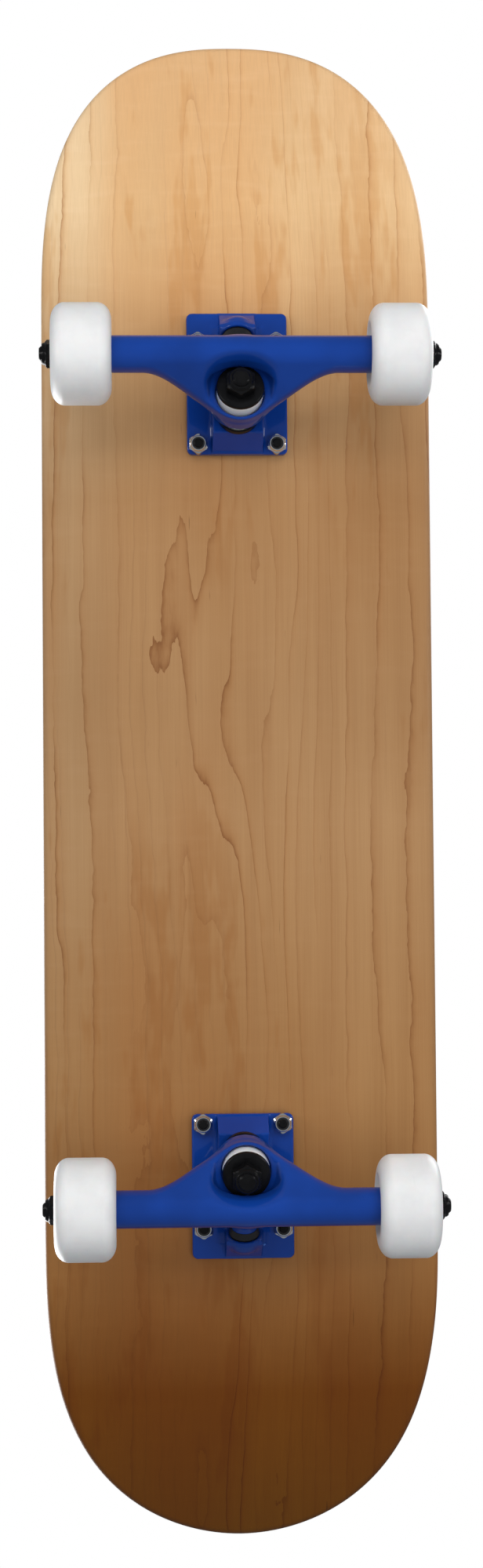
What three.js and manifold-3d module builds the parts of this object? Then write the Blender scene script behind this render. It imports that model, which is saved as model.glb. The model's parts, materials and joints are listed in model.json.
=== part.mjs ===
// A complete skateboard: deck, grip tape, two trucks and four wheels.
// Millimetres. +Z is up, +Y points at the nose, the wheels stand on Z = 0 and the origin is under the middle.
import * as THREE from "three";
import { mergeVertices } from "three/addons/utils/BufferGeometryUtils.js";
import { ConvexGeometry } from "three/addons/geometries/ConvexGeometry.js";
import Module from "manifold-3d";

const wasm = await Module();
wasm.setup();

// ---- Sizes ----

const CONTACT_GAP = 0.1; // between pieces that are fastened together
const RUNNING_GAP = 0.13; // radial, between a shaft and what turns on it
const BOLT_GAP = 0.15; // radial, around a threaded piece
const THROUGH = 60; // how far a cutter runs past what it cuts

// Deck
const DECK_WIDTH = 206.4;
const DECK_THICKNESS = 11;
const DECK_EDGE_RADIUS = 4.2;
const WHEELBASE = 355.6; // between the inner bolt rows
const BOLT_SPACING_Y = 53.98;
const BOLT_SPACING_X = 41.28;
const NOSE_LENGTH = 176.8; // from the outer bolts to the tip, measured level
const TAIL_LENGTH = 169.8;
const NOSE = { curve: 166.6, along: 3.01, across: 2.43, angle: THREE.MathUtils.degToRad(21) };
const TAIL = { curve: 185, along: 3.5, across: 1.95, angle: THREE.MathUtils.degToRad(20) };
const KICK_START = 18; // from the outer bolts to the start of the bend
const KICK_RADIUS = 110;
const CONCAVE_RISE = 8; // of the rails over the flat middle
const CONCAVE_FLAT = 28; // half width of the flat middle
const CONCAVE_POWER = 1.7; // how sharply the rails turn up
const CONCAVE_LEFT_AT_TIPS = 0.3;
const GRIP_THICKNESS = 0.9;
const SPINE_FROM_TIP = 0.42; // of the width: where the deck's skin closes on its middle line
const END_STEPS = 16; // of the outline, round each half of the nose and the tail
const SIDE_STEPS = 6;

// Trucks, in a frame at the middle of the bolt pattern on the deck's underside, with Y outwards
const AXLE_DROP = 52;
const KINGPIN_LEAN = THREE.MathUtils.degToRad(17);
const RING_OUT = -8.4; // centre of the hanger's ring
const RING_DROP = 34;
const PIVOT_OUT = 28.8; // centre of the pivot cup's mouth
const PIVOT_DROP = 13.3;
const PLATE_WIDTH = 53;
const PLATE_INNER_MARGIN = 5; // from the inner bolts to the plate's edge
const PLATE_OUTER_MARGIN = 16;
const PLATE_THICKNESS = 5;
const PLATE_CORNER = 3;
const PLATE_BLOCK_WIDTH = 26.5;
const PLATE_BLOCK_HEIGHT = 7.5;
const PLATE_BLOCK_TAPER = 3;
const PLATE_STEP = 1; // of the block and the seat, in from the plate's inner edge
const RAMP_STEP = 2; // of the pivot's ramp, in from the plate's outer edge
const KINGPIN_RADIUS = 4.76;
const KINGPIN_HEAD_RADIUS = 1.68 * KINGPIN_RADIUS;
const KINGPIN_HEAD_HEIGHT = 5.4;
const KINGPIN_PAST_NUT = 2;
const END_CHAMFER = 0.8; // of the kingpin and the axle
const KINGPIN_SEAT_DEPTH = 8.4; // of metal between the kingpin's head and the seat of its washer
const BUSHING_RADIUS = 12;
const BUSHING_END_RADIUS = BUSHING_RADIUS - 0.6;
const SEAT_RADIUS = BUSHING_RADIUS + 1.3; // of the baseplate, over the upper washer
const BOARD_BUSHING_HEIGHT = 13.4;
const ROAD_BUSHING_HEIGHT = 10;
const CUP_WASHER_THICKNESS = 1.4;
const CUP_WASHER_LIP = 1.4;
const CUP_WASHER_WALL = 0.9;
const CUP_WASHER_SLANT = 0.3; // by which the lip opens
const CUP_WASHER_FIT = 0.2; // radial, around the bushing's end
const BUSHING_NECK = 0.6; // of its narrow end, past the washer's lip
const KINGPIN_NUT_FLATS = 3 * KINGPIN_RADIUS;
const KINGPIN_NUT_ROOM = 1.23; // between the nut and the pocket
const KINGPIN_NUT_HEIGHT = 8;
const RING_SEAT_RADIUS = BUSHING_RADIUS + 0.6;
const RING_RADIUS = RING_SEAT_RADIUS + 2.8;
const RING_WEB = 7; // thickness between the two bushings
const RING_HEIGHT = 16.6;
const RING_HOLE_RADIUS = KINGPIN_RADIUS + 1.74;
const STEER_LIMIT = THREE.MathUtils.degToRad(12); // each way
const STEER_GAP = 0.5; // around the washer and the nut, at the limit
const BOARD_CONE_SLOPE = 0.44; // of the ring's opening, that leaves room for the baseplate's seat
const TUBE_RADIUS = 9;
const HANGER_WIDTH = 136.4;
const YOKE_WIDTH = 98; // where the yoke meets the tube
const YOKE_THICKNESS = 10;
const YOKE_INSET = 0.5; // of the yoke's outer end, inside the tube
const BRIDGE_INSET = 3; // of the pivot's arm, inside the ring
const POCKET_WIDTH = 35;
const POCKET_WALL = 1.3; // between the pocket and the axle's bore
const PIVOT_NOSE_RADIUS = 5.9;
const PIVOT_NOSE_LENGTH = 8;
const PIVOT_BASE_RADIUS = PIVOT_NOSE_RADIUS + 2.6;
const PIVOT_BASE_BACK = 14;
const PIVOT_GAP = 0.3;
const PIVOT_CUP_WALL = 1.2;
const PIVOT_BOSS_RADIUS = PIVOT_NOSE_RADIUS + PIVOT_GAP + PIVOT_CUP_WALL + 2;
const PIVOT_BOSS_COLLAR = 2; // straight length behind the cup's mouth
const PIVOT_TAPER = [[1, 0], [0.95, 0.5], [0.64, 0.9], [0, 1]]; // shares of the radius and of the length

// Bolts and wheels
const MOUNT_BOLT_RADIUS = 2.4;
const MOUNT_BOLT_HEAD_RADIUS = MOUNT_BOLT_RADIUS + 2.3;
const MOUNT_BOLT_HEAD_HEIGHT = 2.8;
const MOUNT_NUT_FLATS = 4 * MOUNT_BOLT_RADIUS;
const MOUNT_NUT_HEIGHT = 6;
const MOUNT_BOLT_PAST_NUT = 1.6;
const AXLE_RADIUS = 3.97;
const AXLE_NUT_FLATS = 3.2 * AXLE_RADIUS;
const AXLE_NUT_HEIGHT = 7;
const AXLE_PAST_NUT = 1.4;
const SPEED_WASHER_RADIUS = AXLE_RADIUS + 1.63;
const SPEED_WASHER_THICKNESS = 0.8;
const BEARING_RADIUS = 11;
const BEARING_WIDTH = 7;
const BEARING_SPACER = 10;
const WHEEL_RADIUS = 26;
const WHEEL_WIDTH = 31;
const WHEEL_TREAD = 16.6;
const WHEEL_FACE_RADIUS = BEARING_RADIUS + 6;
const WHEEL_DISH = 1.6;
const WHEEL_LIP = 2.5; // width of the slope into the dish
const WHEEL_CORE_RADIUS = BEARING_RADIUS - 2;
const BEARING_PRESS_GAP = 0.04;

const SMALL_ROUND = 12; // sides of a bolt
const MEDIUM_ROUND = 16;
const WHEEL_ROUND = 24;

// ---- Worked out from the sizes ----

const PATTERN_Y = (WHEELBASE + BOLT_SPACING_Y) / 2;
const OUTER_BOLT_Y = WHEELBASE / 2 + BOLT_SPACING_Y;
const MIDDLE_Y = (TAIL_LENGTH - NOSE_LENGTH) / 2; // centre of the wheelbase
const UNDERSIDE_Z = WHEEL_RADIUS + AXLE_DROP;
const AXLE_BORE = AXLE_RADIUS + RUNNING_GAP;
const POCKET_OUTER = KINGPIN_NUT_FLATS / 2 + KINGPIN_NUT_ROOM; // from the kingpin's own line
const AXLE_FROM_KINGPIN = POCKET_OUTER + POCKET_WALL + AXLE_BORE;
const AXLE_BELOW_RING = AXLE_DROP - RING_DROP;
const AXLE_OUT =
  RING_OUT + (AXLE_FROM_KINGPIN + AXLE_BELOW_RING * Math.sin(KINGPIN_LEAN)) / Math.cos(KINGPIN_LEAN);
const BEARING_CENTRE = (BEARING_SPACER + BEARING_WIDTH) / 2;
const INNER_BEARING_X = HANGER_WIDTH / 2 + SPEED_WASHER_THICKNESS + 2 * CONTACT_GAP;
const WHEEL_X = INNER_BEARING_X + BEARING_CENTRE + BEARING_WIDTH / 2;
const PIVOT_SLOPE = Math.atan2(RING_DROP - PIVOT_DROP, PIVOT_OUT - RING_OUT);
const BOARD_WASHER_S = RING_WEB / 2 + BOARD_BUSHING_HEIGHT + 2 * CONTACT_GAP;
const ROAD_WASHER_S = RING_WEB / 2 + ROAD_BUSHING_HEIGHT + 2 * CONTACT_GAP;
const SEAT_S = BOARD_WASHER_S + CUP_WASHER_THICKNESS + CONTACT_GAP;
const NUT_S = ROAD_WASHER_S + CUP_WASHER_THICKNESS + CONTACT_GAP;
const HEAD_S = SEAT_S + KINGPIN_SEAT_DEPTH;
const CUP_WASHER_RADIUS = BUSHING_END_RADIUS + CUP_WASHER_FIT + CUP_WASHER_WALL;
const PLATE_BOTTOM = PLATE_THICKNESS + CONTACT_GAP;
const BOLT_TOP = DECK_THICKNESS + 3 * CONTACT_GAP;

// ---- Finishes ----

function finish(color, roughness, metalness = 0) {
  return { color, roughness, metalness };
}
const MAPLE = finish(0xb28657, 0.45);
const GRIP = finish(0x17171a, 0.95);
const BLUE_PAINT = finish(0x12347a, 0.25, 0.1);
const WHITE_URETHANE = finish(0xe8e8ea, 0.4);
const BLACK_STEEL = finish(0x17181b, 0.45, 0.8);
const BRIGHT_STEEL = finish(0xb9bcc0, 0.3, 1);
const BLACK_URETHANE = finish(0x141416, 0.6);

// ---- Tools ----

function toSolid(geometry) {
  const bare = geometry.clone();
  bare.deleteAttribute("normal");
  bare.deleteAttribute("uv");
  const merged = mergeVertices(bare, 1e-4);
  return new wasm.Manifold(
    new wasm.Mesh({
      numProp: 3,
      vertProperties: merged.attributes.position.array,
      triVerts: new Uint32Array(merged.index.array),
    }),
  );
}

function toGeometry(solid) {
  const mesh = solid.getMesh();
  const indexed = new THREE.BufferGeometry();
  indexed.setAttribute("position", new THREE.BufferAttribute(mesh.vertProperties, 3));
  indexed.setIndex(new THREE.BufferAttribute(mesh.triVerts, 1));
  const geometry = indexed.toNonIndexed();
  geometry.computeVertexNormals();
  return geometry;
}

function join(...geometries) {
  return geometries.map(toSolid).reduce((whole, next) => whole.add(next));
}

function cut(solid, ...geometries) {
  return geometries.map(toSolid).reduce((left, cutter) => left.subtract(cutter), solid);
}

function hull(...geometries) {
  const points = geometries.flatMap((geometry) => {
    const position = geometry.getAttribute("position");
    const point = (_, i) => new THREE.Vector3().fromBufferAttribute(position, i);
    return Array.from({ length: position.count }, point);
  });
  return new ConvexGeometry(points);
}

// Turns a profile of [radius, height] points about +Z. A ring's profile runs anticlockwise and closes itself.
function turned(profile, sides, flatDown = false) {
  const points = profile.map(([radius, height]) => new THREE.Vector2(radius, height));
  const start = flatDown ? Math.PI / sides : 0;
  return new THREE.LatheGeometry(points, sides, start).rotateX(Math.PI / 2);
}

function cylinder(radius, from, to, sides = MEDIUM_ROUND) {
  return turned([[0, from], [radius, from], [radius, to], [0, to]], sides);
}

function tube(outer, inner, from, to, sides, flatDown = false) {
  return turned([[inner, from], [outer, from], [outer, to], [inner, to], [inner, from]], sides, flatDown);
}

function box(fromX, toX, fromY, toY, fromZ, toZ) {
  const geometry = new THREE.BoxGeometry(toX - fromX, toY - fromY, toZ - fromZ);
  return geometry.translate((fromX + toX) / 2, (fromY + toY) / 2, (fromZ + toZ) / 2);
}

function alongX(geometry) {
  return geometry.rotateY(Math.PI / 2);
}

function hexNut(flats, bore, height) {
  const corner = flats / Math.sqrt(3);
  const shape = new THREE.Shape();
  for (let side = 0; side < 6; side++) {
    const angle = (side * Math.PI) / 3;
    shape.lineTo(corner * Math.cos(angle), corner * Math.sin(angle));
  }
  shape.curves.shift();
  shape.closePath();
  shape.holes.push(new THREE.Path().absarc(0, 0, bore, 0, 2 * Math.PI, true));
  return new THREE.ExtrudeGeometry(shape, { depth: height, bevelEnabled: false, curveSegments: 8 });
}

function part(name, shape, look) {
  const geometry = shape.isBufferGeometry ? shape : toGeometry(shape);
  const mesh = new THREE.Mesh(geometry, new THREE.MeshStandardMaterial(look));
  mesh.name = name;
  return mesh;
}

// ---- Deck ----

function endOf(y) {
  return y > MIDDLE_Y ? NOSE : TAIL;
}

function kickHeight(y) {
  const beyond = Math.abs(y - MIDDLE_Y) - OUTER_BOLT_Y - KICK_START;
  const { angle } = endOf(y);
  const bend = KICK_RADIUS * Math.sin(angle);
  if (beyond <= 0) return 0;
  if (beyond < bend) return KICK_RADIUS - Math.sqrt(KICK_RADIUS ** 2 - beyond ** 2);
  return KICK_RADIUS * (1 - Math.cos(angle)) + (beyond - bend) * Math.tan(angle);
}

function concaveHeight(x, y) {
  const beyond = Math.abs(y - MIDDLE_Y) - OUTER_BOLT_Y - KICK_START;
  const fade = THREE.MathUtils.smoothstep(beyond, 0, KICK_RADIUS);
  const rise = CONCAVE_RISE * (1 - fade * (1 - CONCAVE_LEFT_AT_TIPS));
  const side = Math.max(0, Math.abs(x) - CONCAVE_FLAT) / (DECK_WIDTH / 2 - CONCAVE_FLAT);
  return rise * side ** CONCAVE_POWER;
}

function undersideHeight(x, y) {
  return UNDERSIDE_Z + kickHeight(y) + concaveHeight(x, y);
}

// The point at a height over the underside, square to it. The outline holds at the edge's widest line.
function deckPoint(x, y, height) {
  const step = 0.5;
  const slopeX = (undersideHeight(x + step, y) - undersideHeight(x - step, y)) / (2 * step);
  const slopeY = (undersideHeight(x, y + step) - undersideHeight(x, y - step)) / (2 * step);
  const normal = new THREE.Vector3(-slopeX, -slopeY, 1).normalize();
  const widest = new THREE.Vector3(normal.x, normal.y, 0).multiplyScalar(DECK_EDGE_RADIUS);
  return new THREE.Vector3(x, y, undersideHeight(x, y)).addScaledVector(normal, height).sub(widest);
}

// One end's outline from its straight side to its tip, as [half width, distance from the middle].
function endOutline({ curve, along, across }, length, steps) {
  const tip = OUTER_BOLT_Y + length;
  return Array.from({ length: steps + 1 }, (_, i) => {
    const angle = (i / steps) * (Math.PI / 2);
    const narrowing = i === steps ? 0 : Math.cos(angle) ** (2 / across);
    return [(DECK_WIDTH / 2) * narrowing, tip - curve + curve * Math.sin(angle) ** (2 / along)];
  });
}

function deckOutline() {
  const nose = endOutline(NOSE, NOSE_LENGTH, END_STEPS);
  const tail = endOutline(TAIL, TAIL_LENGTH, END_STEPS);
  const right = tail.reverse().map(([halfWidth, reach]) => [halfWidth, MIDDLE_Y - reach]);
  const from = right.at(-1)[1];
  const to = MIDDLE_Y + nose[0][1];
  for (let i = 1; i < SIDE_STEPS; i++) right.push([DECK_WIDTH / 2, from + ((to - from) * i) / SIDE_STEPS]);
  right.push(...nose.map(([halfWidth, reach]) => [halfWidth, MIDDLE_Y + reach]));
  const left = right.slice(1, -1).reverse().map(([x, y]) => [-x, y]);
  return [...right, ...left];
}

// A closed skin between two heights over the deck's underside, inset from its outline, with rounded edges.
function boardLayer(low, high, inset, edgeRadius) {
  const outline = deckOutline();
  const spineEnd = DECK_WIDTH * SPINE_FROM_TIP;
  const spineTop = MIDDLE_Y + OUTER_BOLT_Y + NOSE_LENGTH - spineEnd;
  const spineBottom = MIDDLE_Y - OUTER_BOLT_Y - TAIL_LENGTH + spineEnd;
  const spine = outline.map(([, y]) => [0, THREE.MathUtils.clamp(y, spineBottom, spineTop)]);
  const flat = 1 - CONCAVE_FLAT / (DECK_WIDTH / 2);
  const shares = [1, flat, (flat * 2) / 3, flat / 3];
  const roundings = [1, 1 - Math.SQRT1_2, 0].map((share) => share * edgeRadius);
  const insets = edgeRadius > 0 ? roundings : [0];

  const row = (share, edgeInset, height) =>
    outline.map(([x, y], i) => {
      const reach = Math.hypot(spine[i][0] - x, spine[i][1] - y);
      const f = Math.max(share, (inset + edgeInset) / reach);
      return deckPoint(x + (spine[i][0] - x) * f, y + (spine[i][1] - y) * f, height);
    });
  const risen = [...insets].reverse();
  const rounded = edgeRadius > 0 ? 1 : 0;
  const rows = [
    ...shares.map((share) => row(share, 0, low)),
    ...insets.map((edgeInset, i) => row(0, edgeInset, low + risen[i] * rounded)),
    ...risen.map((edgeInset, i) => row(0, edgeInset, high - insets[i] * rounded)),
    ...[...shares].reverse().map((share) => row(share, 0, high)),
  ];

  const positions = [];
  const same = (a, b) => a.distanceToSquared(b) < 1e-8;
  const triangle = (a, b, c) => {
    if (same(a, b) || same(b, c) || same(c, a)) return;
    positions.push(...a, ...b, ...c);
  };
  // The upper half is split along the same diagonals as the lower one, so that stacked layers match.
  for (let r = 0; r + 1 < rows.length; r++) {
    const upper = r >= rows.length / 2;
    for (let i = 0; i < outline.length; i++) {
      const next = (i + 1) % outline.length;
      const [here, ahead] = [rows[r][i], rows[r][next]];
      const [over, overAhead] = [rows[r + 1][i], rows[r + 1][next]];
      if (upper) {
        triangle(here, ahead, over);
        triangle(ahead, overAhead, over);
      } else {
        triangle(here, ahead, overAhead);
        triangle(overAhead, over, here);
      }
    }
  }
  const geometry = new THREE.BufferGeometry();
  geometry.setAttribute("position", new THREE.Float32BufferAttribute(positions, 3));
  return geometry;
}

function boltPlaces() {
  const places = [];
  for (const [truck, direction] of [["front", 1], ["rear", -1]]) {
    for (const [row, out] of [["outer", 1], ["inner", -1]]) {
      for (const [side, across] of [["right", 1], ["left", -1]]) {
        const y = MIDDLE_Y + direction * (PATTERN_Y + (out * BOLT_SPACING_Y) / 2);
        places.push({ name: `${truck}_${row}_${side}`, x: (across * BOLT_SPACING_X) / 2, y });
      }
    }
  }
  return places;
}

function makeDeck() {
  const holes = boltPlaces().flatMap(({ x, y }) => {
    const sunk = BOLT_TOP - MOUNT_BOLT_HEAD_HEIGHT - BOLT_GAP;
    const top = BOLT_TOP + BOLT_GAP;
    const hole = cylinder(MOUNT_BOLT_RADIUS + 2 * BOLT_GAP, -THROUGH, THROUGH, SMALL_ROUND);
    const narrow = MOUNT_BOLT_RADIUS + BOLT_GAP;
    const wide = MOUNT_BOLT_HEAD_RADIUS + 2 * BOLT_GAP;
    const countersink = turned([[0, sunk], [narrow, sunk], [wide, top], [0, top]], SMALL_ROUND);
    return [hole.translate(x, y, UNDERSIDE_Z), countersink.translate(x, y, UNDERSIDE_Z)];
  });
  return cut(toSolid(boardLayer(0, DECK_THICKNESS, 0, DECK_EDGE_RADIUS)), ...holes);
}

function makeGripTape() {
  const low = DECK_THICKNESS + CONTACT_GAP;
  const radius = MOUNT_BOLT_HEAD_RADIUS + 2 * BOLT_GAP;
  const holes = boltPlaces().map(({ x, y }) =>
    cylinder(radius, UNDERSIDE_Z, UNDERSIDE_Z + THROUGH, SMALL_ROUND).translate(x, y, 0),
  );
  return cut(toSolid(boardLayer(low, low + GRIP_THICKNESS, DECK_EDGE_RADIUS, 0)), ...holes);
}

function mountBolt() {
  const neck = BOLT_TOP - MOUNT_BOLT_HEAD_HEIGHT;
  const end = -(PLATE_BOTTOM + CONTACT_GAP + MOUNT_NUT_HEIGHT + MOUNT_BOLT_PAST_NUT);
  const profile = [
    [0, end],
    [MOUNT_BOLT_RADIUS, end],
    [MOUNT_BOLT_RADIUS, neck],
    [MOUNT_BOLT_HEAD_RADIUS, BOLT_TOP],
    [0, BOLT_TOP],
  ];
  return turned(profile, SMALL_ROUND);
}

function mountNut() {
  const nut = hexNut(MOUNT_NUT_FLATS, MOUNT_BOLT_RADIUS + BOLT_GAP, MOUNT_NUT_HEIGHT);
  return nut.translate(0, 0, -PLATE_BOTTOM - CONTACT_GAP - MOUNT_NUT_HEIGHT);
}

// ---- Truck ----
// Heights along the kingpin are counted from the middle of the hanger's ring, upwards to the board.

function onKingpin(geometry) {
  return geometry.rotateX(KINGPIN_LEAN).translate(0, RING_OUT, -RING_DROP);
}

// Heights here are counted from the pivot cup's mouth, into the cup.
function onPivot(geometry) {
  return geometry.rotateX(PIVOT_SLOPE - Math.PI / 2).translate(0, PIVOT_OUT, -PIVOT_DROP);
}

function onAxle(geometry) {
  return alongX(geometry).translate(0, AXLE_OUT, -AXLE_DROP);
}

function pivotProfile(radius, length) {
  return PIVOT_TAPER.map(([across, along]) => [radius * across, length * along]);
}

function noseProfile(gap) {
  return pivotProfile(PIVOT_NOSE_RADIUS + gap, PIVOT_NOSE_LENGTH + gap);
}

function cupProfile(gap) {
  return noseProfile(PIVOT_GAP + PIVOT_CUP_WALL + gap);
}

function makePivotCup() {
  const outside = cupProfile(0);
  const inside = noseProfile(PIVOT_GAP).reverse();
  return onPivot(turned([...outside, ...inside, outside[0]], MEDIUM_ROUND));
}

function makeBaseplate() {
  const inner = -BOLT_SPACING_Y / 2 - PLATE_INNER_MARGIN;
  const outer = BOLT_SPACING_Y / 2 + PLATE_OUTER_MARGIN;
  const side = PLATE_WIDTH / 2;
  const outline = new THREE.Shape();
  outline.absarc(side - PLATE_CORNER, outer - PLATE_CORNER, PLATE_CORNER, 0, Math.PI / 2);
  outline.absarc(PLATE_CORNER - side, outer - PLATE_CORNER, PLATE_CORNER, Math.PI / 2, Math.PI);
  outline.absarc(PLATE_CORNER - side, inner + PLATE_CORNER, PLATE_CORNER, Math.PI, 1.5 * Math.PI);
  outline.absarc(side - PLATE_CORNER, inner + PLATE_CORNER, PLATE_CORNER, 1.5 * Math.PI, 2 * Math.PI);
  const flange = new THREE.ExtrudeGeometry(outline, {
    depth: PLATE_THICKNESS,
    bevelEnabled: false,
    curveSegments: 4,
  }).translate(0, 0, -PLATE_BOTTOM);

  // The block, the seat and the ramp all start from a thin slab inside the plate.
  const half = PLATE_BLOCK_WIDTH / 2;
  const root = 1 - PLATE_BOTTOM;
  const blockTop = -CONTACT_GAP - PLATE_BLOCK_HEIGHT;
  const taper = PLATE_BLOCK_TAPER;
  const block = hull(
    box(-half, half, inner + PLATE_STEP, PIVOT_OUT, root - 1, root),
    box(taper - half, half - taper, inner + 2 * PLATE_STEP, PIVOT_OUT - 2 * taper, blockTop, root),
  );
  const seat = hull(
    onKingpin(cylinder(SEAT_RADIUS, SEAT_S, SEAT_S + 3)),
    box(-half, half, inner + PLATE_STEP, RING_OUT + half / 2, root - 1, root),
  );
  const dome = new THREE.SphereGeometry(PIVOT_BOSS_RADIUS, 16, 5, 0, 2 * Math.PI, 0, Math.PI / 2);
  const boss = hull(
    onPivot(cylinder(PIVOT_BOSS_RADIUS, 0, PIVOT_BOSS_COLLAR)),
    onPivot(dome.rotateX(Math.PI / 2).translate(0, 0, PIVOT_BOSS_COLLAR)),
    box(-PIVOT_BOSS_RADIUS, PIVOT_BOSS_RADIUS, PIVOT_OUT - 2 * RAMP_STEP, outer - RAMP_STEP, root - 1, root),
  );

  const boltHoles = [];
  for (const x of [-BOLT_SPACING_X / 2, BOLT_SPACING_X / 2]) {
    for (const y of [-BOLT_SPACING_Y / 2, BOLT_SPACING_Y / 2]) {
      const hole = cylinder(MOUNT_BOLT_RADIUS + 2 * BOLT_GAP, -THROUGH, THROUGH, SMALL_ROUND);
      boltHoles.push(hole.translate(x, y, 0));
    }
  }
  const cup = cupProfile(CONTACT_GAP);
  const cupHollow = [[0, -1], [cup[0][0], -1], ...cup];
  return cut(
    join(flange, block, seat, boss),
    ...boltHoles,
    box(-THROUGH, THROUGH, -THROUGH, THROUGH, -CONTACT_GAP, THROUGH),
    onKingpin(cylinder(KINGPIN_RADIUS + BOLT_GAP, SEAT_S - 1, THROUGH)),
    onKingpin(cylinder(KINGPIN_HEAD_RADIUS + 2 * BOLT_GAP, HEAD_S - CONTACT_GAP, THROUGH)),
    onPivot(turned(cupHollow, MEDIUM_ROUND)),
  );
}

function makeKingpin() {
  const end = -(NUT_S + KINGPIN_NUT_HEIGHT + KINGPIN_PAST_NUT);
  const profile = [
    [0, end],
    [KINGPIN_RADIUS - END_CHAMFER, end],
    [KINGPIN_RADIUS, end + END_CHAMFER],
    [KINGPIN_RADIUS, HEAD_S],
    [KINGPIN_HEAD_RADIUS, HEAD_S],
    [KINGPIN_HEAD_RADIUS, HEAD_S + KINGPIN_HEAD_HEIGHT],
    [0, HEAD_S + KINGPIN_HEAD_HEIGHT],
  ];
  return onKingpin(turned(profile, MEDIUM_ROUND));
}

// A bushing between the hanger's seat and its cup washer, narrower where the washer holds it.
function makeBushing(hangerEnd, washerEnd) {
  const bore = KINGPIN_RADIUS + 2 * BOLT_GAP;
  const up = hangerEnd > washerEnd;
  const neck = CUP_WASHER_LIP + BUSHING_NECK;
  const profile = [
    [bore, washerEnd],
    [BUSHING_END_RADIUS, washerEnd],
    [BUSHING_RADIUS, washerEnd + (up ? neck : -neck)],
    [BUSHING_RADIUS, hangerEnd],
    [bore, hangerEnd],
    [bore, washerEnd],
  ];
  return onKingpin(turned(up ? profile : profile.reverse(), MEDIUM_ROUND));
}

// A cup washer with its flat side at one height and its lip towards the bushing, 1 for up and -1 for down.
function makeCupWasher(flat, towards) {
  const bore = KINGPIN_RADIUS + BOLT_GAP;
  const inside = BUSHING_END_RADIUS + CUP_WASHER_FIT;
  const floor = flat + towards * CUP_WASHER_THICKNESS;
  const lip = floor + towards * CUP_WASHER_LIP;
  const profile = [
    [bore, flat],
    [CUP_WASHER_RADIUS, flat],
    [CUP_WASHER_RADIUS, lip],
    [inside + CUP_WASHER_SLANT, lip],
    [inside, floor],
    [bore, floor],
    [bore, flat],
  ];
  return onKingpin(turned(towards > 0 ? profile : profile.reverse(), MEDIUM_ROUND));
}

function makeKingpinNut() {
  const nut = hexNut(KINGPIN_NUT_FLATS, KINGPIN_RADIUS + BOLT_GAP, KINGPIN_NUT_HEIGHT);
  return onKingpin(nut.translate(0, 0, -NUT_S - KINGPIN_NUT_HEIGHT));
}

function makeHanger() {
  const axleTube = onAxle(cylinder(TUBE_RADIUS, -HANGER_WIDTH / 2, HANGER_WIDTH / 2));
  const yoke = hull(
    onKingpin(cylinder(RING_RADIUS, -YOKE_THICKNESS / 2, YOKE_THICKNESS / 2)),
    onAxle(cylinder(TUBE_RADIUS - YOKE_INSET, -YOKE_WIDTH / 2, YOKE_WIDTH / 2)),
  );
  const ring = onKingpin(cylinder(RING_RADIUS, -RING_HEIGHT / 2, RING_HEIGHT / 2));
  const noseBase = onPivot(cylinder(PIVOT_BASE_RADIUS, -PIVOT_BASE_BACK, 1 - PIVOT_BASE_BACK));
  const arm = hull(
    noseBase,
    onAxle(cylinder(TUBE_RADIUS - YOKE_INSET, -POCKET_WIDTH / 2, POCKET_WIDTH / 2)),
  );
  const bridge = hull(
    noseBase,
    onKingpin(cylinder(RING_RADIUS - BRIDGE_INSET, -YOKE_THICKNESS / 2, YOKE_THICKNESS / 2)),
  );
  const nose = onPivot(
    turned([[0, -PIVOT_BASE_BACK], [PIVOT_BASE_RADIUS, -PIVOT_BASE_BACK], ...noseProfile(0)], MEDIUM_ROUND),
  );

  const boardSide = onKingpin(
    turned(
      [
        [0, RING_WEB / 2],
        [RING_SEAT_RADIUS, RING_WEB / 2],
        [RING_SEAT_RADIUS, RING_HEIGHT / 2],
        [RING_SEAT_RADIUS + BOARD_CONE_SLOPE * (HEAD_S - RING_HEIGHT / 2), HEAD_S],
        [0, HEAD_S],
      ],
      MEDIUM_ROUND,
    ),
  );
  // The pocket takes the washer, which swings and dips in it as the hanger tilts about the ring's middle.
  const swing = NUT_S * Math.sin(STEER_LIMIT);
  const dip = CUP_WASHER_RADIUS * Math.sin(STEER_LIMIT);
  const pocketRadius = (CUP_WASHER_RADIUS + swing + STEER_GAP) / Math.cos(Math.PI / MEDIUM_ROUND);
  const pocketMouth = ROAD_WASHER_S - CUP_WASHER_LIP - dip - STEER_GAP;
  const pocketFloor = NUT_S + 4 * STEER_GAP;
  const roadSide = onKingpin(
    turned(
      [
        [0, -pocketFloor],
        [pocketRadius, -pocketFloor],
        [pocketRadius, -pocketMouth],
        [RING_SEAT_RADIUS, -Math.min(RING_HEIGHT / 2, pocketMouth - STEER_GAP)],
        [RING_SEAT_RADIUS, -RING_WEB / 2],
        [0, -RING_WEB / 2],
      ],
      MEDIUM_ROUND,
    ),
  );
  const pocket = onKingpin(
    box(-POCKET_WIDTH / 2, POCKET_WIDTH / 2, -THROUGH, POCKET_OUTER, -THROUGH, CONTACT_GAP - pocketFloor),
  );
  return cut(
    join(axleTube, yoke, ring, arm, bridge, nose),
    boardSide,
    roadSide,
    pocket,
    onKingpin(cylinder(RING_HOLE_RADIUS, -RING_HEIGHT, RING_HEIGHT)),
    onAxle(cylinder(AXLE_BORE, -HANGER_WIDTH, HANGER_WIDTH)),
  );
}

function makeAxle() {
  const end = axleEnd();
  const profile = [
    [0, -end],
    [AXLE_RADIUS - END_CHAMFER, -end],
    [AXLE_RADIUS, END_CHAMFER - end],
    [AXLE_RADIUS, end - END_CHAMFER],
    [AXLE_RADIUS - END_CHAMFER, end],
    [0, end],
  ];
  return onAxle(turned(profile, MEDIUM_ROUND));
}

// ---- Wheel ----
// Heights are counted along the axle from the wheel's middle, outwards.

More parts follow.
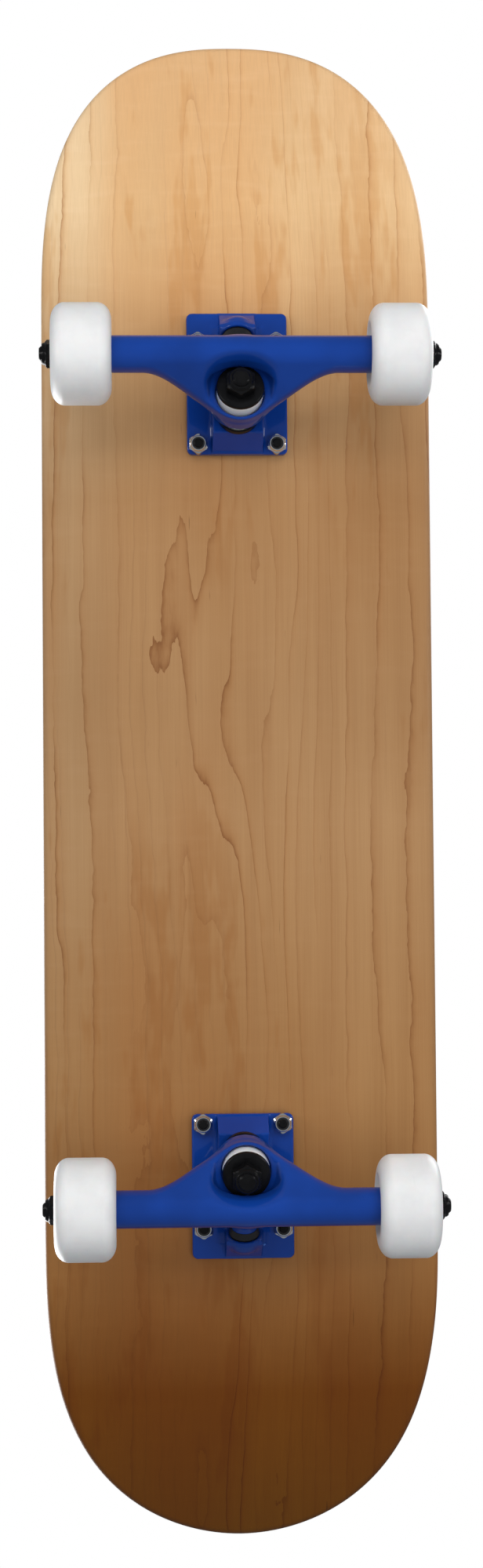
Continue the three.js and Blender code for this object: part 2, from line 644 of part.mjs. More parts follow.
function outerWasherFrom() {
  return BEARING_CENTRE + BEARING_WIDTH / 2 + CONTACT_GAP;
}

function axleNutFrom() {
  return outerWasherFrom() + SPEED_WASHER_THICKNESS + CONTACT_GAP;
}

function axleEnd() {
  return WHEEL_X + axleNutFrom() + AXLE_NUT_HEIGHT + AXLE_PAST_NUT;
}

function makeWheel() {
  const flatScale = 1 / Math.cos(Math.PI / WHEEL_ROUND); // so that the tread's flats lie at the full radius
  const half = WHEEL_WIDTH / 2;
  const seatEnd = BEARING_CENTRE + BEARING_WIDTH / 2;
  const seat = BEARING_RADIUS + BEARING_PRESS_GAP;
  const cornerSteps = 3;
  const outerHalf = [
    [WHEEL_CORE_RADIUS, BEARING_SPACER / 2],
    [seat, BEARING_SPACER / 2],
    [seat, seatEnd],
    [WHEEL_FACE_RADIUS - WHEEL_LIP, half - WHEEL_DISH],
    [WHEEL_FACE_RADIUS, half],
  ];
  for (let i = 1; i <= cornerSteps; i++) {
    const angle = (i / cornerSteps) * (Math.PI / 2);
    const reach = (WHEEL_RADIUS - WHEEL_FACE_RADIUS) * Math.sin(angle);
    outerHalf.push([WHEEL_FACE_RADIUS + reach, WHEEL_TREAD / 2 + (half - WHEEL_TREAD / 2) * Math.cos(angle)]);
  }
  outerHalf[outerHalf.length - 1][0] *= flatScale;
  const innerHalf = outerHalf.map(([radius, height]) => [radius, -height]);
  const profile = [...innerHalf, ...outerHalf.reverse()];
  profile.push(profile[0]);
  return turned(profile, WHEEL_ROUND, true);
}

function makeBearing(centre) {
  const half = BEARING_WIDTH / 2;
  return tube(BEARING_RADIUS, AXLE_BORE, centre - half, centre + half, WHEEL_ROUND, true);
}

// A wheel with what holds it on, in a frame at the wheel's middle with +Z outwards.
function wheelCorner(name) {
  const corner = new THREE.Group();
  const washerFrom = outerWasherFrom();
  const washerTo = washerFrom + SPEED_WASHER_THICKNESS;
  const washer = tube(SPEED_WASHER_RADIUS, AXLE_BORE, washerFrom, washerTo, MEDIUM_ROUND);
  const nut = hexNut(AXLE_NUT_FLATS, AXLE_BORE, AXLE_NUT_HEIGHT).translate(0, 0, axleNutFrom());
  corner.add(
    part(`${name}_wheel`, makeWheel(), WHITE_URETHANE),
    part(`${name}_outer_bearing`, makeBearing(BEARING_CENTRE), BRIGHT_STEEL),
    part(`${name}_inner_bearing`, makeBearing(-BEARING_CENTRE), BRIGHT_STEEL),
    part(`${name}_speed_washer`, washer, BRIGHT_STEEL),
    part(`${name}_axle_nut`, nut, BLACK_STEEL),
  );
  return corner;
}

// A whole truck; its +X side is the board's right at the front and its left at the rear.
function makeTruck(name, sides) {
  const truck = new THREE.Group();
  truck.add(
    part(`${name}_baseplate`, makeBaseplate(), BLUE_PAINT),
    part(`${name}_pivot_cup`, makePivotCup(), BLACK_URETHANE),
    part(`${name}_kingpin`, makeKingpin(), BLACK_STEEL),
    part(
      `${name}_board_side_bushing`,
      makeBushing(RING_WEB / 2 + CONTACT_GAP, BOARD_WASHER_S - CONTACT_GAP),
      WHITE_URETHANE,
    ),
    part(
      `${name}_road_side_bushing`,
      makeBushing(-RING_WEB / 2 - CONTACT_GAP, CONTACT_GAP - ROAD_WASHER_S),
      WHITE_URETHANE,
    ),
    part(`${name}_board_side_washer`, makeCupWasher(SEAT_S - CONTACT_GAP, -1), BLACK_STEEL),
    part(`${name}_road_side_washer`, makeCupWasher(CONTACT_GAP - NUT_S, 1), BLACK_STEEL),
    part(`${name}_kingpin_nut`, makeKingpinNut(), BLACK_STEEL),
    part(`${name}_hanger`, makeHanger(), BLUE_PAINT),
    part(`${name}_axle`, makeAxle(), BLACK_STEEL),
  );
  sides.forEach((side, i) => {
    const corner = wheelCorner(`${name}_${side}`);
    const out = i === 0 ? 1 : -1;
    corner.position.set(out * WHEEL_X, AXLE_OUT, -AXLE_DROP);
    corner.rotation.y = (out * Math.PI) / 2;
    truck.add(corner);
  });
  return truck;
}

// ---- Assembly ----

const skateboard = new THREE.Group();
skateboard.add(part("deck", makeDeck(), MAPLE), part("grip_tape", makeGripTape(), GRIP));

for (const { name, x, y } of boltPlaces()) {
  const bolt = part(`${name}_bolt`, mountBolt(), BLACK_STEEL);
  const nut = part(`${name}_nut`, mountNut(), BRIGHT_STEEL);
  bolt.position.set(x, y, UNDERSIDE_Z);
  nut.position.set(x, y, UNDERSIDE_Z);
  skateboard.add(bolt, nut);
}

const frontTruck = makeTruck("front", ["right", "left"]);
frontTruck.position.set(0, MIDDLE_Y + PATTERN_Y, UNDERSIDE_Z);
const rearTruck = makeTruck("rear", ["left", "right"]);
rearTruck.position.set(0, MIDDLE_Y - PATTERN_Y, UNDERSIDE_Z);
rearTruck.rotation.z = Math.PI;
skateboard.add(frontTruck, rearTruck);

export default skateboard;
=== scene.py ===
import json
import math

import bpy
import numpy as np
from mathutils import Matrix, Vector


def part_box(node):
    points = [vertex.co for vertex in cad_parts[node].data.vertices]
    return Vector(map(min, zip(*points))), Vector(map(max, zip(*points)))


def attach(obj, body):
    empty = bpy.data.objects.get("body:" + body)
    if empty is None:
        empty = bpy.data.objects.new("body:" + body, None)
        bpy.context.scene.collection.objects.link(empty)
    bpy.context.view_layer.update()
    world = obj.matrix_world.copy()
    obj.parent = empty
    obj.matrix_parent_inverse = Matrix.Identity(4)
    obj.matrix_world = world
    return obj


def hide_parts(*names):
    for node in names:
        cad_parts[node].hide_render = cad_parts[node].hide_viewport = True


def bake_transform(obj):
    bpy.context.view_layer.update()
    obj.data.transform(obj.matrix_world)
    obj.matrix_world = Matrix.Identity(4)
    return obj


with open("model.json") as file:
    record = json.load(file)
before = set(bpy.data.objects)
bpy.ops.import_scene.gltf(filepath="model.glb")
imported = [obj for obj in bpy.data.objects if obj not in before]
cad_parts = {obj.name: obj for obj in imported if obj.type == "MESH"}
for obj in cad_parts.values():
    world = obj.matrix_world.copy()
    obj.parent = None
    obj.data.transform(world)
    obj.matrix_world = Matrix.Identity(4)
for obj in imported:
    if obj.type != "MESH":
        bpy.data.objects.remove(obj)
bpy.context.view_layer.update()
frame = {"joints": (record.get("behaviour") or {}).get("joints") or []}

import openvdb
from mathutils import Matrix, Vector

# Shapes are worked out in millimetres, and become metres when a mesh is made.
MM = 0.001

# ---- Places taken from the frame ----


def box_mm(node):
    low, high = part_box(node)
    return np.array(low) / MM, np.array(high) / MM


def centre_mm(node):
    low, high = box_mm(node)
    return (low + high) / 2


JOINTS = {joint["name"]: joint for joint in frame["joints"]}
UNDERSIDE = box_mm("front_baseplate")[1][2] + 0.1
MIDDLE_Y = (centre_mm("front_kingpin")[1] + centre_mm("rear_kingpin")[1]) / 2
BOARD_LOW, BOARD_HIGH = box_mm("deck")

# ---- Sizes ----

DECK_WIDTH = BOARD_HIGH[0] - BOARD_LOW[0]
DECK_THICKNESS = 11
DECK_EDGE_RADIUS = 4.2
PLIES = 7
KICK_AT = 249.8
KICK_RADIUS = 110
CONCAVE_RISE = 8
CONCAVE_FLAT = 28
CONCAVE_LEFT_AT_TIPS = 0.3
NOSE = {"curve": 166.6, "along": 3.01, "across": 2.43, "angle": math.radians(21)}
TAIL = {"curve": 185, "along": 3.5, "across": 1.95, "angle": math.radians(20)}
GRIP_THICKNESS = 0.9
GRIP_INSET = 3.2
GRIP_LIFT = 0.1

BOLT_RADIUS = 2.4
BOLT_TOP = 11.3
BOLT_END = -12.8
BOLT_PITCH = 0.79
BOLT_HEAD_HOLE = 5.15

KINGPIN_LEAN = math.radians(17)
KINGPIN_RADIUS = 4.76
KINGPIN_BORE = 4.95
KINGPIN_END = -25.3
AXLE_RADIUS = 3.97
AXLE_BORE = 4.05
PIN_PITCH = 1.06
ARM_RADIUS = 9.55
WEB_END_RADIUS = 8.6
RING_RADIUS = 15.4
RING_WEB = 7
RING_HEIGHT = 16.6
BOARD_BUSHING = (3.6, 16.9)
ROAD_BUSHING = (-13.6, -3.6)
BOARD_WASHER = 18.5
ROAD_WASHER = -15.1
KINGPIN_NUT = -15.2
PIVOT_MOUTH = 42.6
PIVOT_NOSE_RADIUS = 5.9
PIVOT_BOSS_RADIUS = 9.4
PLATE_TOP = -0.1
PLATE_THICKNESS = 5.0
BLOCK_HALF_WIDTH = 13.25
BOARD_SEAT = 18.6

BEARING_RADIUS = 11
BEARING_WIDTH = 7
BEARING_SEAT = 12.0
WHEEL_FACE_RADIUS = 17.0
WHEEL_TREAD_HALF = 8.3

# Faces that meet at a sharper angle than this, in degrees, show a hard edge.
SHARP = 35

# ---- Mesh tools ----


def make_object(name, points, faces, materials, matrix=None, indices=None, sharp=SHARP):
    """A mesh object from points in millimetres, placed by a matrix that is in millimetres too."""
    points = np.asarray(points, dtype=float)
    if matrix is not None:
        points = points @ np.array(matrix.to_3x3()).T + np.array(matrix.translation)
    mesh = bpy.data.meshes.new(name)
    mesh.from_pydata((points * MM).tolist(), [], [tuple(face) for face in faces])
    for material in materials if isinstance(materials, (list, tuple)) else [materials]:
        mesh.materials.append(material)
    if indices is not None:
        mesh.polygons.foreach_set("material_index", indices)
    mesh.validate()
    mesh.shade_smooth()
    if sharp:
        mesh.set_sharp_from_angle(angle=math.radians(sharp))
    made = bpy.data.objects.new(name, mesh)
    bpy.context.scene.collection.objects.link(made)
    return made


def fillet(points, radius, steps=4):
    """Rounds the inner corners of a line of [radius, height] points."""
    out = [tuple(points[0])]
    for before, corner, after in zip(points, points[1:], points[2:]):
        before, corner, after = (np.array(p[:2], float) for p in (before, corner, after))
        back, on = before - corner, after - corner
        lengths = np.linalg.norm(back), np.linalg.norm(on)
        reach = min(radius, lengths[0] * 0.45, lengths[1] * 0.45)
        start, end = corner + back / lengths[0] * reach, corner + on / lengths[1] * reach
        for t in np.linspace(0, 1, steps + 1):
            out.append(tuple((1 - t) ** 2 * start + 2 * t * (1 - t) * corner + t**2 * end))
    return out + [tuple(points[-1])]


def turned(profile, segments=96, shape=None, closed=False):
    """Points and faces of [radius, height] points turned about Z.
    shape(radius, height, angle) may change the radius.
    Faces come row by row, so that face // segments is the profile's step."""
    profile = np.array(profile, float)
    angle = np.arange(segments) * 2 * math.pi / segments
    radius = np.repeat(profile[:, :1], segments, axis=1)
    height = np.repeat(profile[:, 1:], segments, axis=1)
    turn = np.repeat(angle[None], len(profile), axis=0)
    if shape:
        radius = shape(radius, height, turn)
    points = np.stack([radius * np.cos(turn), radius * np.sin(turn), height], axis=2).reshape(-1, 3)
    rows = len(profile)
    faces = []
    for row in range(rows if closed else rows - 1):
        above = (row + 1) % rows
        for i in range(segments):
            j = (i + 1) % segments
            faces.append((row * segments + i, row * segments + j, above * segments + j, above * segments + i))
    return points, faces


def thread(pitch, low, high, depth=0.45):
    """A shape for turned() that cuts a screw thread between two heights."""

    def shape(radius, height, angle):
        wave = np.abs(((height / pitch - angle / (2 * math.pi)) % 1) * 2 - 1)
        inside = (height > low) & (height < high) & (radius > depth * 3)
        return radius - np.where(inside, depth * wave, 0)

    return shape


def hexagon(flats, ends, chamfer=0.58):
    """A shape for turned() that holds the radius inside a hexagon, with chamfered corners at the ends."""

    def shape(radius, height, angle):
        across = flats / 2 / np.cos((angle + math.pi / 6) % (math.pi / 3) - math.pi / 6)
        limit = np.minimum.reduce([flats * 0.485 + np.abs(height - end) / chamfer for end in ends])
        return np.minimum(radius, np.minimum(across, limit))

    return shape


def turned_object(
    name, profile, materials, matrix=None, segments=96, shape=None, closed=False, bands=None, sharp=SHARP
):
    """A turned piece. bands(radius, height) gives the material's number for a step of the profile."""
    points, faces = turned(profile, segments, shape, closed)
    indices = None
    if bands:
        middles = [(np.array(a) + np.array(b)) / 2 for a, b in zip(profile, list(profile[1:]) + [profile[0]])]
        indices = [bands(*middles[face // segments]) for face in range(len(faces))]
    return make_object(name, points, faces, materials, matrix, indices, sharp)


# Distance fields, for cast shapes


def soft_min(a, b, size):
    share = np.clip(0.5 + 0.5 * (b - a) / size, 0, 1)
    return b * (1 - share) + a * share - size * share * (1 - share)


def soft_max(a, b, size):
    return -soft_min(-a, -b, size)


def corner(a, b, rounding=0.0):
    """The distance to where two flat-sided distances meet, with a rounded edge."""
    a, b = a + rounding, b + rounding
    return np.minimum(np.maximum(a, b), 0) + np.hypot(np.maximum(a, 0), np.maximum(b, 0)) - rounding


def along(points, origin, direction):
    """Distance along a line, and out from it."""
    offset = [points[i] - origin[i] for i in range(3)]
    length = sum(offset[i] * direction[i] for i in range(3))
    square = sum(part * part for part in offset) - length * length
    return length, np.sqrt(np.maximum(square, 0))


def rod(points, origin, direction, low, high, radius, rounding=1.0):
    length, out = along(points, origin, direction)
    return corner(out - radius, np.abs(length - (low + high) / 2) - (high - low) / 2, rounding)


def field_mesh(low, high, step, distance):
    """The surface where a distance field is zero."""
    axes = [np.arange(low[i], high[i] + step, step, dtype=np.float32) for i in range(3)]
    values = distance(np.meshgrid(*axes, indexing="ij")).astype(np.float32)
    grid = openvdb.FloatGrid(10.0)
    grid.copyFromArray(values)
    points, quads = grid.convertToQuads(isovalue=0.0)
    return points * step + np.array(low), quads[:, ::-1]


# ---- Materials ----


class Nodes:
    """A short way to write a material's nodes."""

    def __init__(self, name, **settings):
        self.material = bpy.data.materials.new(name)
        self.material.use_nodes = True
        self.tree = self.material.node_tree
        self.shader = self.tree.nodes["Principled BSDF"]
        for socket, value in settings.items():
            self.shader.inputs[socket.replace("_", " ")].default_value = value
        self.place = self.node("ShaderNodeTexCoord").outputs["Object"]

    def node(self, kind, **values):
        made = self.tree.nodes.new(kind)
        for key, value in values.items():
            setattr(made, key, value)
        return made

    def put(self, socket, value):
        if isinstance(value, bpy.types.NodeSocket):
            self.tree.links.new(value, socket)
        else:
            socket.default_value = value

    def math(self, operation, a, b=0.0, clamp=False):
        made = self.node("ShaderNodeMath", operation=operation, use_clamp=clamp)
        self.put(made.inputs[0], a)
        self.put(made.inputs[1], b)
        return made.outputs[0]

    def scaled(self, x, y, z, place=None):
        made = self.node("ShaderNodeVectorMath", operation="MULTIPLY")
        self.put(made.inputs[0], place or self.place)
        made.inputs[1].default_value = (x, y, z)
        return made.outputs[0]

    def split(self, vector=None):
        made = self.node("ShaderNodeSeparateXYZ")
        self.put(made.inputs[0], vector or self.place)
        return made.outputs

    def noise(self, vector, detail=2.0, roughness=0.5, scale=1.0):
        made = self.node("ShaderNodeTexNoise")
        self.put(made.inputs["Vector"], vector)
        made.inputs["Scale"].default_value = scale
        made.inputs["Detail"].default_value = detail
        made.inputs["Roughness"].default_value = roughness
        return made.outputs["Fac"]

    def spread(self, value, low, high, to_low=0.0, to_high=1.0):
        made = self.node("ShaderNodeMapRange", interpolation_type="SMOOTHSTEP")
        self.put(made.inputs["Value"], value)
        made.inputs["From Min"].default_value = low
        made.inputs["From Max"].default_value = high
        made.inputs["To Min"].default_value = to_low
        made.inputs["To Max"].default_value = to_high
        return made.outputs[0]

    def mix(self, share, a, b, blend="MIX"):
        made = self.node("ShaderNodeMix", data_type="RGBA", blend_type=blend)
        self.put(made.inputs["Factor"], share)
        # Inputs 6 and 7 and output 2 are the sockets for colours.
        for number, value in ((6, a), (7, b)):
            self.put(made.inputs[number], value if isinstance(value, bpy.types.NodeSocket) else (*value, 1))
        return made.outputs[2]

    def ramp(self, value, stops):
        made = self.node("ShaderNodeValToRGB")
        self.put(made.inputs[0], value)
        elements = made.color_ramp.elements
        while len(elements) < len(stops):
            elements.new(0.5)
        for element, (position, colour) in zip(elements, stops):
            element.position = position
            element.color = (*colour, 1)
        return made.outputs[0]

    def bump(self, height, strength, distance=0.0005, onto=None):
        made = self.node("ShaderNodeBump")
        made.inputs["Strength"].default_value = strength
        made.inputs["Distance"].default_value = distance
        self.put(made.inputs["Height"], height)
        if onto:
            self.put(made.inputs["Normal"], onto)
        return made.outputs[0]

    def finish(self, colour=None, roughness=None, normal=None):
        for socket, value in (("Base Color", colour), ("Roughness", roughness), ("Normal", normal)):
            if value is not None:
                self.put(self.shader.inputs[socket], value)
        return self.material


# The lacquered veneer's tone from the nose to the tail, with painted light in it: the fall of the light along
# the board is painted in, pale at the nose and in painted shade towards the tail.
VENEER_TONE_AND_PAINTED_LIGHT = [
    (0, (1, 1.04, 1.1)),
    (0.12, (0.98, 1.02, 1.05)),
    (0.2, (0.77, 0.72, 0.66)),
    (0.32, (0.46, 0.38, 0.3)),
    (0.45, (0.44, 0.37, 0.3)),
    (0.53, (0.475, 0.405, 0.335)),
    (0.7, (0.42, 0.33, 0.23)),
    (0.82, (0.39, 0.262, 0.136)),
    (0.9, (0.2, 0.095, 0.0095)),
    (1, (0.152, 0.082, 0.0085)),
]
# Painted light: one rail is painted paler and bluer than the rest, standing in for light that the lamps don't
# give there.
PAINTED_RAIL_LIGHT = (1.08, 1.22, 1.42)


def maple_material():
    m = Nodes("maple", Coat_Weight=0.06, Coat_Roughness=0.4, Specular_IOR_Level=0.22)
    x, y, _ = m.split()
    # Growth lines run along the board. They wander slowly, jog sideways and close into long loops.
    wander = m.math("MULTIPLY", m.math("SUBTRACT", m.noise(m.scaled(5, 2.4, 1), 2), 0.5), 0.022)
    jogs = m.math("MULTIPLY", m.math("SUBTRACT", m.noise(m.scaled(24, 26, 1), 3, 0.6), 0.5), 0.0058)
    across = m.math("ADD", m.math("ADD", x, wander), jogs)
    middle = m.math("MULTIPLY", m.spread(m.math("ABSOLUTE", x), 0.012, 0.06, 1.0, 0.22), 6.4)
    loops = m.math("MULTIPLY", m.noise(m.scaled(25, 3.4, 1), 2, 0.45), middle)
    ragged = m.math("MULTIPLY", m.noise(m.scaled(210, 42, 1), 3, 0.65), 0.2)
    rings = m.math("ADD", m.math("ADD", m.math("MULTIPLY", across, 66), loops), ragged)
    phase = m.math("FRACT", rings)
    count = m.math("FLOOR", rings)
    each = m.node("ShaderNodeTexWhiteNoise", noise_dimensions="1D")
    m.put(each.inputs["W"], count)
    place = m.node("ShaderNodeCombineXYZ")
    m.put(place.inputs[0], m.math("MULTIPLY", count, 3.7))
    m.put(place.inputs[1], m.math("MULTIPLY", y, 7.5))
    fading = m.spread(m.noise(place.outputs[0], 2, 0.5), 0.36, 0.6, 0.22, 1.0)
    strong = m.math("MULTIPLY", m.spread(each.outputs[0], 0.0, 1.0, 0.35, 1.0), fading)
    line = m.math("MULTIPLY", m.math("POWER", phase, 21), strong)
    shade = m.math("MULTIPLY", m.math("POWER", phase, 5), strong)
    # Finer, straighter lines, most of all towards one rail.
    fine_rings = m.math("ADD", m.math("MULTIPLY", across, 158), m.math("MULTIPLY", loops, 0.5))
    towards_rail = m.spread(x, -0.02, 0.09, 0.25, 1.0)
    fine_patches = m.spread(m.noise(m.scaled(30, 3, 1), 2), 0.4, 0.65)
    fine_mask = m.math("MULTIPLY", towards_rail, fine_patches)
    fine = m.math("MULTIPLY", m.math("POWER", m.math("FRACT", fine_rings), 14), fine_mask)
    # Fibres, pores and slow changes of tone.
    fibres = m.noise(m.scaled(1500, 15, 200), 3, 0.6)
    streaks = m.noise(m.scaled(120, 1.3, 20), 3, 0.6)
    cloud = m.noise(m.scaled(11, 2.6, 3), 3)
    blush = m.noise(m.scaled(16, 3.4, 7), 2)
    ripple = m.noise(m.scaled(40, 170, 10), 2)
    fleck = m.spread(m.noise(m.scaled(560, 34, 1), 1), 0.77, 0.83)
    colour = m.mix(m.spread(cloud, 0.3, 0.7), (0.80, 0.53, 0.285), (0.66, 0.40, 0.19))
    colour = m.mix(m.spread(blush, 0.45, 0.72, 0, 0.6), colour, (0.68, 0.36, 0.15))
    colour = m.mix(m.spread(streaks, 0.35, 0.7, 0, 0.3), colour, (0.60, 0.345, 0.16))
    flame_patches = m.spread(m.noise(m.scaled(62, 11, 4), 3, 0.65), 0.53, 0.63)
    flame = m.math("MULTIPLY", flame_patches, m.spread(cloud, 0.42, 0.55))
    colour = m.mix(m.math("MULTIPLY", flame, 0.5), colour, (0.56, 0.27, 0.09))
    colour = m.mix(m.math("MULTIPLY", shade, 0.65), colour, (0.62, 0.30, 0.105))
    colour = m.mix(m.math("MULTIPLY", line, 0.95), colour, (0.32, 0.125, 0.04))
    colour = m.mix(m.math("MULTIPLY", fine, 0.45), colour, (0.38, 0.21, 0.11))
    colour = m.mix(m.spread(fibres, 0.3, 0.75, 0, 0.18), colour, (0.47, 0.26, 0.12))
    colour = m.mix(m.spread(ripple, 0.45, 0.8, 0, 0.07), colour, (0.90, 0.62, 0.38))
    colour = m.mix(m.math("MULTIPLY", fleck, 0.55), colour, (0.16, 0.07, 0.03))
    # The veneer's tone deepens from the nose to the tail, and the fall of the light along the board is
    # painted into it: painted light at the nose, painted shade at the tail.
    length = (BOARD_HIGH[1] - BOARD_LOW[1]) * MM
    share = m.math("DIVIDE", m.math("SUBTRACT", BOARD_HIGH[1] * MM, y), length)
    tone_and_painted_light = m.ramp(share, VENEER_TONE_AND_PAINTED_LIGHT)
    colour = m.mix(1.0, colour, tone_and_painted_light, "MULTIPLY")
    # Painted light: the rail towards +X is painted paler and bluer.
    colour = m.mix(m.spread(x, 0.052, 0.096), colour, m.mix(1.0, colour, PAINTED_RAIL_LIGHT, "MULTIPLY"))
    # Cut edges show the plies and their glue lines.
    ply = m.math("MULTIPLY", m.node("ShaderNodeAttribute", attribute_name="depth").outputs["Fac"], PLIES)
    which = m.node("ShaderNodeTexWhiteNoise", noise_dimensions="1D")
    m.put(which.inputs["W"], m.math("FLOOR", ply))
    glue = m.spread(m.math("ABSOLUTE", m.math("SUBTRACT", m.math("FRACT", ply), 0.5)), 0.42, 0.5)
    edge = m.mix(which.outputs[0], (0.56, 0.38, 0.25), (0.45, 0.29, 0.18))
    edge = m.mix(m.spread(m.noise(m.scaled(300, 60, 2000), 3), 0.35, 0.7, 0, 0.4), edge, (0.34, 0.2, 0.12))
    edge = m.mix(m.math("MULTIPLY", glue, 0.4), edge, (0.16, 0.09, 0.06))
    # The cut edges take the same painted light and shade along the board.
    edge = m.mix(0.75, edge, m.mix(1.0, edge, tone_and_painted_light, "MULTIPLY"))
    colour = m.mix(m.spread(ply, 1.9, 2.1), colour, edge)
    roughness = m.spread(m.noise(m.scaled(60, 12, 10), 3), 0.3, 0.7, 0.48, 0.6)
    grain = m.bump(fibres, 0.12, 0.0002)
    return m.finish(colour, roughness, m.bump(line, 0.1, 0.0002, grain))


def grip_material():
    m = Nodes("grip_tape", Specular_IOR_Level=0.35)
    grit = m.noise(m.place, 2, 0.7, 2600)
    coarse = m.noise(m.place, 2, 0.6, 1100)
    wear = m.noise(m.scaled(9, 5, 5), 4, 0.6)
    # Painted glints: the grit's tips are painted paler, as well as being made glossier.
    painted_grit_glint = m.spread(grit, 0.68, 0.76)
    colour = m.mix(m.spread(coarse, 0.35, 0.7), (0.006, 0.006, 0.0065), (0.022, 0.022, 0.024))
    colour = m.mix(m.math("MULTIPLY", painted_grit_glint, 0.55), colour, (0.12, 0.12, 0.125))
    colour = m.mix(m.spread(wear, 0.5, 0.75, 0, 0.2), colour, (0.04, 0.04, 0.042))
    roughness = m.spread(grit, 0.6, 0.76, 0.95, 0.45)
    height = m.math("ADD", grit, m.math("MULTIPLY", coarse, 0.6))
    return m.finish(colour, roughness, m.bump(height, 0.9, 0.0006))


def paint_material():
    m = Nodes("blue_paint", Coat_Weight=0.7, Coat_Roughness=0.04, Specular_IOR_Level=0.03)
    pool = m.noise(m.place, 3, 0.5, 26)
    peel = m.noise(m.place, 2, 0.5, 420)
    speck = m.noise(m.place, 1, 0.5, 2300)
    colour = m.mix(m.spread(pool, 0.35, 0.7), (0.0042, 0.041, 0.265), (0.0033, 0.033, 0.215))
    colour = m.mix(m.spread(speck, 0.74, 0.8, 0, 0.12), colour, (0.05, 0.11, 0.35))
    # Convex edges are painted paler blue: a painted highlight along them, with thinner, worn paint there too.
    edge_wear_and_painted_highlight = m.node("ShaderNodeNewGeometry").outputs["Pointiness"]
    colour = m.mix(m.spread(edge_wear_and_painted_highlight, 0.53, 0.62, 0, 0.55), colour, (0.10, 0.24, 0.66))
    roughness = m.spread(m.noise(m.place, 3, 0.5, 70), 0.3, 0.7, 0.34, 0.44)
    return m.finish(colour, roughness, m.bump(peel, 0.08, 0.0003))


def urethane_material(name, light, deep, subsurface):
    m = Nodes(name, Subsurface_Weight=subsurface, Subsurface_Scale=0.002, Specular_IOR_Level=0.4)
    haze = m.noise(m.place, 4, 0.6, 55)
    grain = m.noise(m.place, 3, 0.6, 900)
    scuff = m.spread(m.noise(m.scaled(220, 26, 26), 4, 0.7), 0.62, 0.72)
    colour = m.mix(m.spread(haze, 0.35, 0.7), light, deep)
    colour = m.mix(m.math("MULTIPLY", scuff, 0.05), colour, (0.3, 0.3, 0.3))
    roughness = m.spread(haze, 0.3, 0.7, 0.34, 0.46)
    return m.finish(colour, roughness, m.bump(grain, 0.06, 0.0002))


def metal_material(name, light, deep, roughness, grain=0.1, metallic=1.0, shine=0.5):
    m = Nodes(name, Metallic=metallic, Specular_IOR_Level=shine)
    cloud = m.noise(m.place, 4, 0.6, 160)
    fine = m.noise(m.place, 3, 0.6, 1500)
    colour = m.mix(m.spread(cloud, 0.35, 0.7), light, deep)
    rough = m.spread(m.noise(m.place, 3, 0.6, 420), 0.3, 0.7, roughness * 0.8, roughness * 1.25)
    return m.finish(colour, rough, m.bump(fine, grain, 0.0002))


MAPLE = maple_material()
GRIP = grip_material()
PAINT = paint_material()
WHITE = urethane_material("white_urethane", (0.70, 0.70, 0.70), (0.65, 0.65, 0.655), 0.15)
BLACK_RUBBER = urethane_material("black_urethane", (0.008, 0.008, 0.009), (0.014, 0.014, 0.015), 0.0)
BLACK_STEEL = metal_material(
    "black_steel", (0.006, 0.006, 0.0065), (0.004, 0.004, 0.0045), 0.22, grain=0.15, metallic=0.0, shine=0.12
)
ZINC = metal_material("zinc_steel", (0.86, 0.87, 0.89), (0.66, 0.67, 0.69), 0.13)
SHIELD = metal_material("bearing_shield", (0.05, 0.05, 0.055), (0.035, 0.035, 0.04), 0.4, 0.1, 0.4)
NYLON = metal_material("nylon_insert", (0.02, 0.02, 0.022), (0.014, 0.014, 0.016), 0.5, 0.1, 0.0)

# ---- Deck ----


def kick_height(y):
    beyond = np.abs(y - MIDDLE_Y) - KICK_AT
    angle = np.where(y > MIDDLE_Y, NOSE["angle"], TAIL["angle"])
    bend = KICK_RADIUS * np.sin(angle)
    curved = KICK_RADIUS - np.sqrt(KICK_RADIUS**2 - np.clip(beyond, 0, bend) ** 2)
    return curved + np.maximum(beyond - bend, 0) * np.tan(angle)


def concave_height(x, y):
    t = np.clip((np.abs(y - MIDDLE_Y) - KICK_AT) / KICK_RADIUS, 0, 1)
    fade = t * t * (3 - 2 * t)
    side = np.maximum(0, np.abs(x) - CONCAVE_FLAT) / (DECK_WIDTH / 2 - CONCAVE_FLAT)
    return CONCAVE_RISE * (1 - fade * (1 - CONCAVE_LEFT_AT_TIPS)) * side**1.7


def underside(x, y):
    return UNDERSIDE + kick_height(y) + concave_height(x, y)


def board_point(x, y, height):
    step = 0.5
    slope_x = (underside(x + step, y) - underside(x - step, y)) / (2 * step)
    slope_y = (underside(x, y + step) - underside(x, y - step)) / (2 * step)
    size = np.sqrt(slope_x**2 + slope_y**2 + 1)
    lift = (height - DECK_EDGE_RADIUS) / size
    return np.stack([x - slope_x * lift, y - slope_y * lift, underside(x, y) + height / size], axis=-1)


def half_outline(count):
    """The right side of the outline, from the tail's tip to the nose's, in even steps."""

    def end(shape, tip):
        angle = np.linspace(0, math.pi / 2, 600)
        half = DECK_WIDTH / 2 * np.maximum(np.cos(angle), 0) ** (2 / shape["across"])
        half[-1] = 0
        return half, tip - shape["curve"] + shape["curve"] * np.sin(angle) ** (2 / shape["along"])

    nose_x, nose_y = end(NOSE, BOARD_HIGH[1] - MIDDLE_Y)
    tail_x, tail_y = end(TAIL, MIDDLE_Y - BOARD_LOW[1])
    x = np.concatenate([tail_x[::-1], nose_x])
    y = np.concatenate([MIDDLE_Y - tail_y[::-1], MIDDLE_Y + nose_y])
    run = np.concatenate([[0], np.cumsum(np.hypot(np.diff(x), np.diff(y)))])
    at = np.linspace(0, run[-1], count)
    return np.interp(at, run, x), np.interp(at, run, y)


